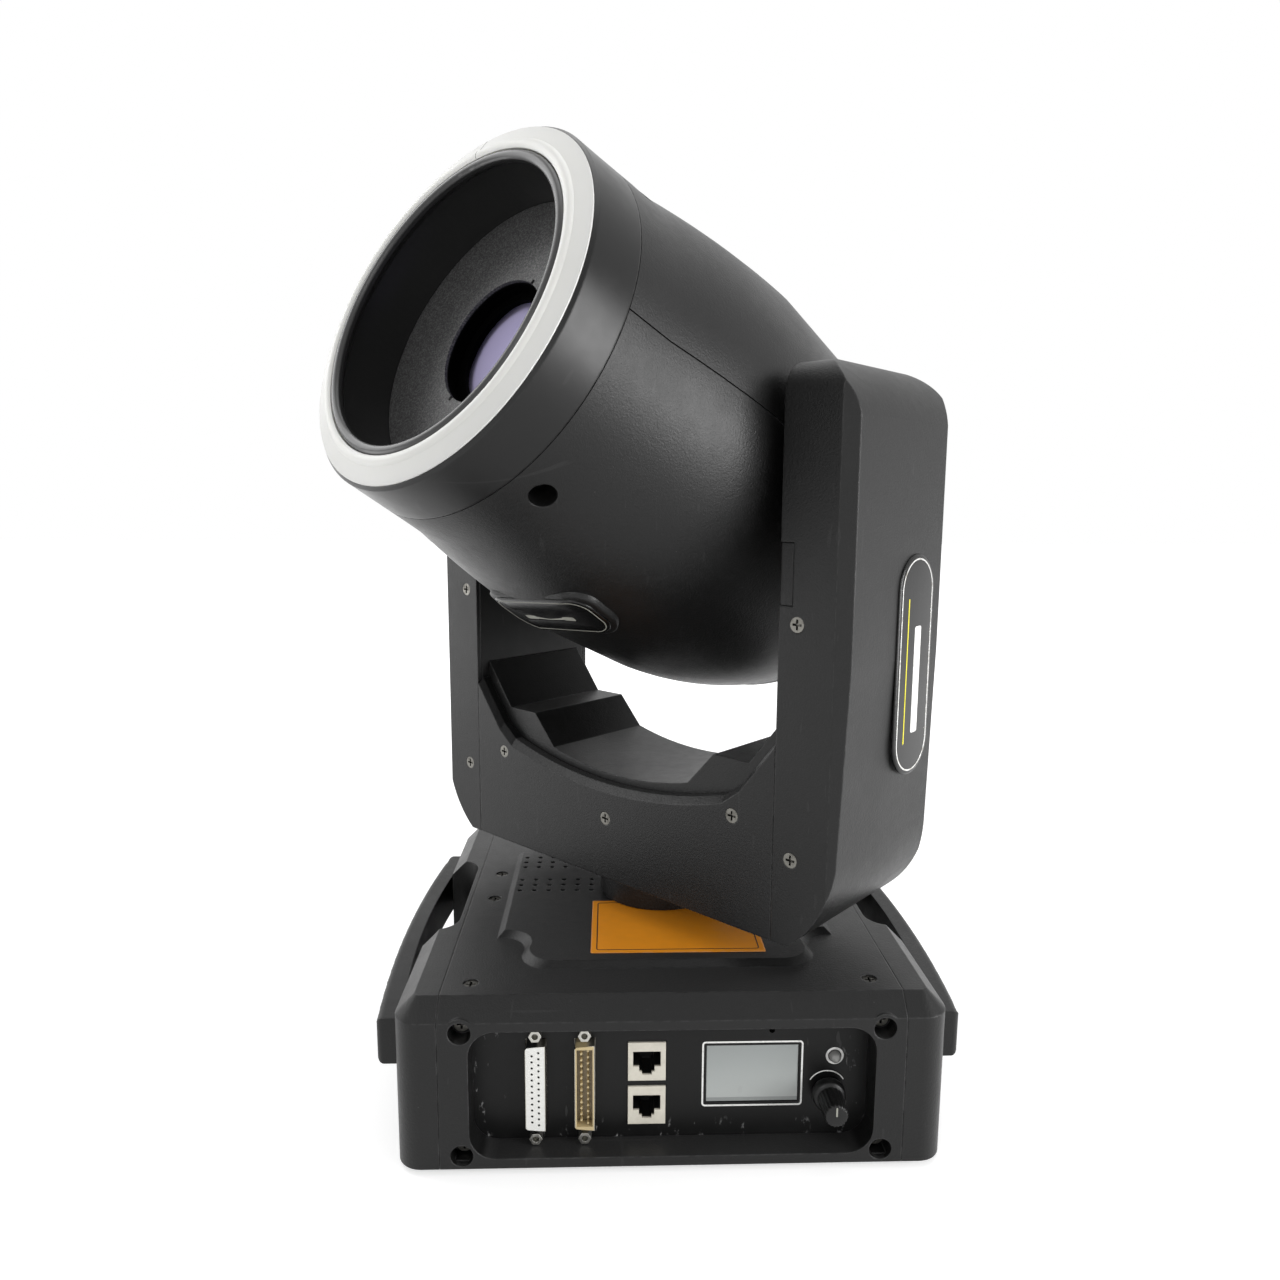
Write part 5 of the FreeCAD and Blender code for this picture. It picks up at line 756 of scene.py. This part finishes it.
GOLD = metal("gold contacts", (0.80, 0.58, 0.22), (0.2, 0.3), tarnish=(0.55, 0.40, 0.16))
BADGE_BLACK = moulded("gloss badge", 0.003, (0.16, 0.24), grain_depth=0.000004, specular=0.35, wear=0.1)
STICKER_ORANGE = moulded("orange sticker", 0.86, (0.36, 0.46), tint=(1.0, 0.36, 0.02), grain_depth=0.00001,
                         wear=0.3, wear_and_highlight_tone=0.6, scratches=0.05, specks=0.2)


def dress_nodes():
    """Give every carried-over solid the finish of its record slot, or its own."""
    for part in frame["record"]["subparts"]:
        mesh = frame["nodes"][part["node"]].data
        mesh.materials.clear()
        mesh.materials.append(NODE_FINISH.get(part["node"], FINISH[part["material_slot"]]))


# Mesh helpers, in local millimetres
LEAST_CORNER = 0.05
DROP_START = 40.0
RING_DROP_START = 200.0


def outline(size, radius, inset, steps):
    """Points of a rounded rectangle about the origin, drawn in by an inset, anticlockwise."""
    radius = max(radius - inset, LEAST_CORNER)
    reach = Vector(size) / 2 - Vector((inset + radius, inset + radius))
    points = []
    for quarter, (sx, sy) in enumerate(((1, 1), (-1, 1), (-1, -1), (1, -1))):
        middle = Vector((sx * reach.x, sy * reach.y))
        for k in range(steps + 1):
            angle = math.radians(90 * (quarter + k / steps))
            points.append(middle + Vector((math.cos(angle), math.sin(angle))) * radius)
    return points


def ring_at(mesh, points, z):
    return [mesh.verts.new((p.x, p.y, z)) for p in points]


def bridge(mesh, ring_a, ring_b):
    count = len(ring_a)
    for k in range(count):
        n = (k + 1) % count
        mesh.faces.new((ring_a[k], ring_a[n], ring_b[n], ring_b[k]))


def walled(mesh, rings):
    """Walls from each ring to the next."""
    for below, above in zip(rings, rings[1:]):
        bridge(mesh, below, above)


def fan(mesh, ring, tip):
    """Close a ring with triangles to a point."""
    point = mesh.verts.new(tip)
    for k in range(len(ring)):
        mesh.faces.new((ring[k], ring[(k + 1) % len(ring)], point))


def capped(mesh, rings):
    """Close a run of rings with walls and a face at both ends."""
    walled(mesh, rings)
    mesh.faces.new(list(reversed(rings[0])))
    mesh.faces.new(rings[-1])
    return mesh


def band_section(line, lift):
    """Section of a flat band as (inset, z) points."""
    low, high = lift
    return (0, low), (0, high), (line, high), (line, low)


def slab(size, radius, levels, steps=8):
    """Closed plate: one rounded outline for each (inset, z) level, with both ends capped."""
    mesh = bmesh.new()
    return capped(mesh, [ring_at(mesh, outline(size, radius, inset, steps), z) for inset, z in levels])


def frame_strip(size, radius, line, lift, steps=8):
    """Flat closed frame: the band between two rounded outlines."""
    mesh = bmesh.new()
    rings = [ring_at(mesh, outline(size, radius, inset, steps), z) for inset, z in band_section(line, lift)]
    walled(mesh, rings + rings[:1])
    return mesh


def arc_strip(radius, line, ends, steps=24):
    """Printed band along part of a circle, from one angle to another."""
    mesh = bmesh.new()
    start, end = ends
    loops = []
    for k in range(steps + 1):
        angle = start + (end - start) * k / steps
        loop = []
        for inset, z in band_section(line, (0, PRINT_T)):
            r = radius - inset
            loop.append(mesh.verts.new((r * math.cos(angle), r * math.sin(angle), z)))
        loops.append(loop)
    return capped(mesh, loops)


def lathe(profile, steps, wave):
    """Closed solid turned about Z from (radius, z) points whose ends lie on the axis.
    The wave gives a change of radius for an angle and a profile point's number."""
    mesh = bmesh.new()
    rings = []
    for number, (radius, z) in enumerate(profile[1:-1], 1):
        ring = []
        for k in range(steps):
            angle = math.tau * k / steps
            r = radius + wave(angle, number)
            ring.append(mesh.verts.new((r * math.cos(angle), r * math.sin(angle), z)))
        rings.append(ring)
    walled(mesh, rings)
    fan(mesh, list(reversed(rings[0])), (0, 0, profile[0][1]))
    fan(mesh, rings[-1], (0, 0, profile[-1][1]))
    return mesh


def dropped(node, place, x, y, start=DROP_START):
    """Height of a solid's surface under a point of a local frame, along that frame's Z."""
    solid = frame["nodes"][node]
    down = (place.to_3x3() @ Vector((0, 0, -1))).normalized()
    hit, point, _, _ = solid.ray_cast(place @ Vector((x, y, start)), down)
    if not hit:
        raise RuntimeError("no surface of " + node + " under a draped piece")
    return (place.inverted() @ point).z


def draped_rings(mesh, node, place, size, radius, levels, steps, crown_width):
    """Rounded outlines laid on a curved solid, one for each (inset, lift) level.
    The crown lifts what lies above the solid by more towards the two ends of its width."""
    rings = []
    for inset, lift in levels:
        ring = []
        for p in outline(size, radius, inset, steps):
            crown = HEAD_BADGE_CROWN * (2 * p.x / crown_width) ** 2 if lift > 0 else 0.0
            ring.append(mesh.verts.new((p.x, p.y, dropped(node, place, p.x, p.y) + lift + crown)))
        rings.append(ring)
    return rings


def draped(node, place, size, radius, levels, crown_width, steps=12):
    """Closed plate laid on a curved solid."""
    mesh = bmesh.new()
    rings = draped_rings(mesh, node, place, size, radius, levels, steps, crown_width)
    walled(mesh, rings)
    mesh.faces.new(list(reversed(rings[0])))
    fan(mesh, rings[-1], (0, 0, dropped(node, place, 0, 0) + levels[-1][1]))
    return mesh


def draped_strip(node, place, size, radius, line, lift, crown_width, steps=12):
    """Closed line laid along a rounded outline on a curved solid."""
    mesh = bmesh.new()
    rings = draped_rings(mesh, node, place, size, radius, band_section(line, lift), steps, crown_width)
    walled(mesh, rings + rings[:1])
    return mesh


def grown(size, margin):
    """A width and a height with a margin all round, which may be negative."""
    return size[0] + 2 * margin, size[1] + 2 * margin


def finish_piece(name, mesh, place, body, finish, smooth_angle=30.0):
    """Turn a mesh in local millimetres into a piece that rides on a body."""
    bmesh.ops.recalc_face_normals(mesh, faces=mesh.faces)
    mesh.transform(place)
    data = bpy.data.meshes.new(name)
    mesh.to_mesh(data)
    mesh.free()
    piece = bpy.data.objects.new(name, data)
    bpy.context.scene.collection.objects.link(piece)
    data.materials.append(finish)
    data.shade_smooth()
    data.set_sharp_from_angle(angle=math.radians(smooth_angle))
    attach(piece, body)
    return piece


def joined(meshes):
    """One mesh of several separate solids."""
    total = bmesh.new()
    for mesh in meshes:
        data = bpy.data.meshes.new("part")
        mesh.to_mesh(data)
        mesh.free()
        total.from_mesh(data)
        bpy.data.meshes.remove(data)
    return total


def shifted(mesh, x, y):
    mesh.transform(Matrix.Translation((x, y, 0)))
    return mesh


# Base details

def orange_sticker():
    """Blank sticker on the base's raised top, with one printed line round it."""
    top = node_box_mm("base_shell")[1].z
    place = BASE @ Matrix.Translation((*STICKER_CENTRE, top))
    levels = ((0, 0.0), (0, STICKER_T * 0.6), (0.1, STICKER_T))
    sheet = slab(STICKER_SIZE, STICKER_CORNER, levels)
    finish_piece("orange_sticker", sheet, place, "base", STICKER_ORANGE)
    line = frame_strip(grown(STICKER_SIZE, -STICKER_LINE_INSET), STICKER_LINE_CORNER, STICKER_LINE,
                       (STICKER_T, STICKER_T + PRINT_T))
    finish_piece("sticker_line", line, place, "base", STICKER_INK)


def panel_place(x, z):
    """Frame on the control panel's face: X right, Y up, Z out towards the reader."""
    face_y = node_box_mm("control_panel")[0].y
    return BASE @ Matrix.Translation((x, face_y, z)) @ UPRIGHT


def panel_print():
    """White printed lines: a frame round the display, a ring round the lamp and the knob's arc."""
    display_frame = frame_strip(DISPLAY_FRAME_SIZE, DISPLAY_FRAME_CORNER, DISPLAY_FRAME_LINE, (0, PRINT_T))
    lines = (
        ("display_frame", "lcd_module", display_frame),
        ("lamp_ring", "status_led", arc_strip(LAMP_RING_R, LAMP_RING_LINE, (0, math.tau), 40)),
        ("knob_arc", "func_knob", arc_strip(KNOB_ARC_R, KNOB_ARC_LINE, KNOB_ARC_ENDS)),
    )
    for name, node, mesh in lines:
        middle = node_middle_mm(node)
        finish_piece(name, mesh, panel_place(middle.x, middle.z), "base", WHITE_INK)


def fluted_knob():
    """Skirted encoder knob with a fluted, tapered grip and a pointer line on its end."""
    low, high = node_box_mm("func_knob")
    middle = (low + high) / 2
    length = high.y - low.y
    skirt = (high.x - low.x) / 2
    place = BASE @ Matrix.Translation((middle.x, high.y, middle.z)) @ UPRIGHT
    profile = [(0, 0)] + [(skirt - inset, z) for inset, z in KNOB_SKIRT]
    profile += [(skirt - inset, length - drop) for inset, drop in KNOB_END] + [(0, length)]

    def flutes(angle, number):
        depth = FLUTE_DEPTH if number in FLUTED_POINTS else 0.0
        return -depth * (0.5 + 0.5 * math.cos(KNOB_FLUTES * angle))

    knob = finish_piece("fluted_knob", lathe(profile, KNOB_FLUTES * FLUTE_STEPS, flutes), place, "func_knob",
                        FINISH["knob_plastic"], 40.0)
    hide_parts("func_knob")
    reach = skirt - POINTER_INSET
    levels = ((0, length - POINTER_HALF_T), (0, length + POINTER_HALF_T))
    pointer = shifted(slab((POINTER_WIDTH, reach), POINTER_CORNER, levels, 4), 0, reach / 2)
    finish_piece("knob_pointer", pointer, place, "func_knob", DIM_INK)


def jack_contacts():
    """Gold spring contacts inside the two network jacks."""
    front = node_box_mm("rj45_jacks")[0].y
    middle = node_middle_mm("rj45_jacks")
    levels = ((0, -CONTACT_HALF_T), (0, CONTACT_HALF_T))
    lean = Matrix.Rotation(CONTACT_LEAN, 4, "X")
    wires = []
    for opening in frame["record"]["physics"]["openings"]:
        if not opening["name"].endswith("network_jack"):
            continue
        top = opening["box_m"][1][2] / MM
        for k in range(CONTACT_COUNT):
            x = middle.x + (k - (CONTACT_COUNT - 1) / 2) * CONTACT_PITCH
            wire_mesh = slab(CONTACT_SIZE, CONTACT_HALF_T, levels, 3)
            wire_mesh.transform(Matrix.Translation((x, front + CONTACT_DEPTH, top - CONTACT_DROP)) @ lean)
            wires.append(wire_mesh)
    finish_piece("jack_contacts", joined(wires), BASE, "base", GOLD)


# Yoke details

def arm_face(side):
    """How far an arm cover's outer face lies from the pan axis, along the tilt axis."""
    node = frame["nodes"]["right_arm_cover" if side > 0 else "left_arm_cover"]
    return max(side * TILT_X.dot(v.co) for v in node.data.vertices) / MM


def arm_badge(side):
    """Domed oval badge on an arm's outer face: a silver line, a pale bar and a thin yellow line."""
    outward = Matrix(((0, 0, 1, 0), (1, 0, 0, 0), (0, 1, 0, 0), (0, 0, 0, 1)))
    if side < 0:
        outward = Matrix.Rotation(math.pi, 4, "Z") @ outward
    place = YOKE @ Matrix.Translation((side * arm_face(side), *ARM_BADGE_CENTRE)) @ outward
    name = "right" if side > 0 else "left"
    radius = ARM_BADGE_SIZE[0] / 2
    dome = slab(ARM_BADGE_SIZE, radius, ARM_BADGE_DOME, ARM_BADGE_STEPS)
    finish_piece(name + "_arm_badge", dome, place, "yoke", BADGE_BLACK, 60.0)
    keyline = frame_strip(grown(ARM_BADGE_SIZE, -ARM_KEYLINE_INSET), radius - ARM_KEYLINE_INSET, ARM_KEYLINE,
                          ARM_KEYLINE_LIFT, ARM_BADGE_STEPS)
    finish_piece(name + "_badge_keyline", keyline, place, "yoke", SILVER)
    bar = shifted(slab(ARM_BAR_SIZE, ARM_BAR_CORNER, ARM_PRINT_LEVELS), *ARM_BAR_CENTRE)
    finish_piece(name + "_badge_bar", bar, place, "yoke", WHITE_INK)
    line = shifted(slab(ARM_LINE_SIZE, ARM_LINE_CORNER, ARM_PRINT_LEVELS, 4), *ARM_LINE_CENTRE)
    finish_piece(name + "_badge_line", line, place, "yoke", YELLOW_INK)


# Head details

def head_badge():
    """Badge on a low lens-shaped pad under the barrel: its ends stand off the round shell."""
    out = Vector((math.cos(HEAD_BADGE_ANGLE), 0, math.sin(HEAD_BADGE_ANGLE)))
    across = Vector((-out.z, 0, out.x))
    foot = Vector((0, -HEAD_BADGE_L, 0)) + out * HEAD_BADGE_R
    axes = Matrix((across, Vector((0, -1, 0)), out)).transposed().to_4x4()
    place = HEAD @ Matrix.Translation(foot) @ axes
    shell = "lower_shell"
    width = HEAD_BADGE_SIZE[0]
    pad_size = grown(HEAD_BADGE_SIZE, HEAD_PAD_MARGIN)
    pad = draped(shell, place, pad_size, HEAD_PAD_CORNER, HEAD_PAD_LEVELS, pad_size[0])
    finish_piece("head_badge_pad", pad, place, "head", FINISH["case_plastic"], 50.0)
    dome = draped(shell, place, HEAD_BADGE_SIZE, HEAD_BADGE_CORNER, HEAD_BADGE_DOME, width)
    finish_piece("head_badge", dome, place, "head", BADGE_BLACK, 50.0)
    keyline = draped_strip(shell, place, grown(HEAD_BADGE_SIZE, -HEAD_KEYLINE_INSET), HEAD_KEYLINE_CORNER,
                           HEAD_KEYLINE, HEAD_KEYLINE_LIFT, width)
    finish_piece("head_badge_keyline", keyline, place, "head", DIM_INK)
    bar = draped(shell, place, HEAD_BAR_SIZE, HEAD_BAR_CORNER, HEAD_BAR_LEVELS, width, 4)
    finish_piece("head_badge_bar", bar, place, "head", DIM_INK)


def tube_joint():
    """Butt joint across the light ring, as a fine grey line on its surface."""
    inverse = RING.inverted()
    radii = [(inverse @ v.co).to_2d().length for v in frame["nodes"]["led_ring"].data.vertices]
    start, end = min(radii) + JOINT_MARGIN, max(radii) - JOINT_MARGIN
    turn = Matrix.Rotation(TUBE_JOINT_ANGLE, 4, "Z")
    half = JOINT_LINE / 2
    mesh = bmesh.new()
    loops = []
    for k in range(JOINT_STEPS + 1):
        radius = start + (end - start) * k / JOINT_STEPS
        loop = []
        for y, lift in ((-half, JOINT_SUNK), (-half, JOINT_PROUD), (half, JOINT_PROUD), (half, JOINT_SUNK)):
            point = turn @ Vector((radius, y, 0))
            height = dropped("led_ring", RING, point.x, point.y, RING_DROP_START)
            loop.append(mesh.verts.new((point.x, point.y, height + lift)))
        loops.append(loop)
    finish_piece("tube_joint", capped(mesh, loops), RING, "head", JOINT_GREY, 60.0)


# Studio, in metres; a lamp is its place, its size and the radiance of its face, with white as one
FLOOR_REACH = 6.0
FLOOR_TONE = 0.8
FLOOR_GLOW = 0.5
FLOOR_FADE = (0.35, 1.2)
WORLD_LIGHT = 0.42
LAMP_AIM = Vector((0.0, 0.0, 0.25))
LAMPS = {
    "right_panel": ((1.02, -0.64, 0.30), (0.55, 0.7), 12.0),
    "left_window": ((-1.05, 0.5, 1.05), (1.0, 1.0), 2.2),
    "left_low": ((-1.4, 0.15, 0.15), (0.6, 0.6), 2.5),
    "overhead": ((0.1, 0.2, 1.7), (1.2, 1.2), 1.5),
    "front_left": ((-0.7, -1.3, 0.9), (0.8, 0.8), 2.4),
}


def white_to_camera(tree):
    """One for rays that show the background: from the camera, off metal and through glass."""
    path = add_node(tree, "ShaderNodeLightPath")
    seen = maths(tree, "MAXIMUM", path.outputs["Is Camera Ray"], path.outputs["Is Glossy Ray"])
    return maths(tree, "MAXIMUM", seen, path.outputs["Is Transmission Ray"])


def studio_floor():
    """Pale floor that takes the shadow near the object and fades to plain white far from it."""
    low = cad_box[0][2]
    mesh = bpy.data.meshes.new("floor")
    corners = [(x * FLOOR_REACH, y * FLOOR_REACH, low) for x, y in ((-1, -1), (1, -1), (1, 1), (-1, 1))]
    mesh.from_pydata(corners, [], [(0, 1, 2, 3)])
    floor = bpy.data.objects.new("floor", mesh)
    bpy.context.scene.collection.objects.link(floor)
    material, tree, shader = new_finish("floor white")
    wire(tree, shader, base_color=grey(FLOOR_TONE), roughness=0.9, specular_ior_level=0.0)
    away = vectors(tree, "LENGTH", add_node(tree, "ShaderNodeNewGeometry").outputs["Position"])
    level = ramp(tree, away, *FLOOR_FADE, FLOOR_GLOW, 1.0)
    glow = add_node(tree, "ShaderNodeEmission", color=grey(1.0),
                    strength=times(tree, white_to_camera(tree), level))
    both = tree.nodes.new("ShaderNodeAddShader")
    tree.links.new(shader.outputs[0], both.inputs[0])
    tree.links.new(glow.outputs[0], both.inputs[1])
    tree.links.new(both.outputs[0], tree.nodes["Material Output"].inputs["Surface"])
    mesh.materials.append(material)


def studio_world():
    """White behind the object and in its reflections, and a soft grey room for other light."""
    world = bpy.data.worlds.new("studio")
    bpy.context.scene.world = world
    world.use_nodes = True
    tree = world.node_tree
    level = mix_value(tree, white_to_camera(tree), WORLD_LIGHT, 1.0)
    wire(tree, tree.nodes["Background"], color=grey(1.0), strength=level)


def softbox(name, place, size, radiance):
    """Rectangular lamp that faces the object."""
    lamp = bpy.data.lights.new(name, "AREA")
    lamp.shape = "RECTANGLE"
    lamp.size, lamp.size_y = size
    lamp.energy = radiance * math.pi * size[0] * size[1]
    light = bpy.data.objects.new(name, lamp)
    bpy.context.scene.collection.objects.link(light)
    light.location = place
    light.rotation_euler = (LAMP_AIM - Vector(place)).to_track_quat("-Z", "Y").to_euler()


def photograph_camera():
    yaw, pitch, roll = CAMERA_YAW, CAMERA_PITCH, CAMERA_ROLL
    ahead = Vector((math.sin(yaw) * math.cos(pitch), math.cos(yaw) * math.cos(pitch), -math.sin(pitch)))
    level = Vector((math.cos(yaw), -math.sin(yaw), 0))
    below = ahead.cross(level)
    right = level * math.cos(roll) + below * math.sin(roll)
    down = below * math.cos(roll) - level * math.sin(roll)
    data = bpy.data.cameras.new("camera")
    data.sensor_width = SENSOR_MM
    data.lens = FOCAL_PIXELS / IMAGE_PIXELS * SENSOR_MM
    data.clip_start = CLIP_START_M
    camera = bpy.data.objects.new("camera", data)
    bpy.context.scene.collection.objects.link(camera)
    turn = Matrix((right, -down, -ahead)).transposed().to_4x4()
    camera.matrix_world = Matrix.Translation(CAMERA_PLACE * MM) @ turn
    bpy.context.scene.camera = camera


bpy.context.scene.view_settings.view_transform = "Standard"
dress_nodes()
orange_sticker()
panel_print()
fluted_knob()
jack_contacts()
for arm_side in (-1, 1):
    arm_badge(arm_side)
head_badge()
tube_joint()
studio_floor()
studio_world()
for lamp_name, lamp_values in LAMPS.items():
    softbox(lamp_name, *lamp_values)
photograph_camera()
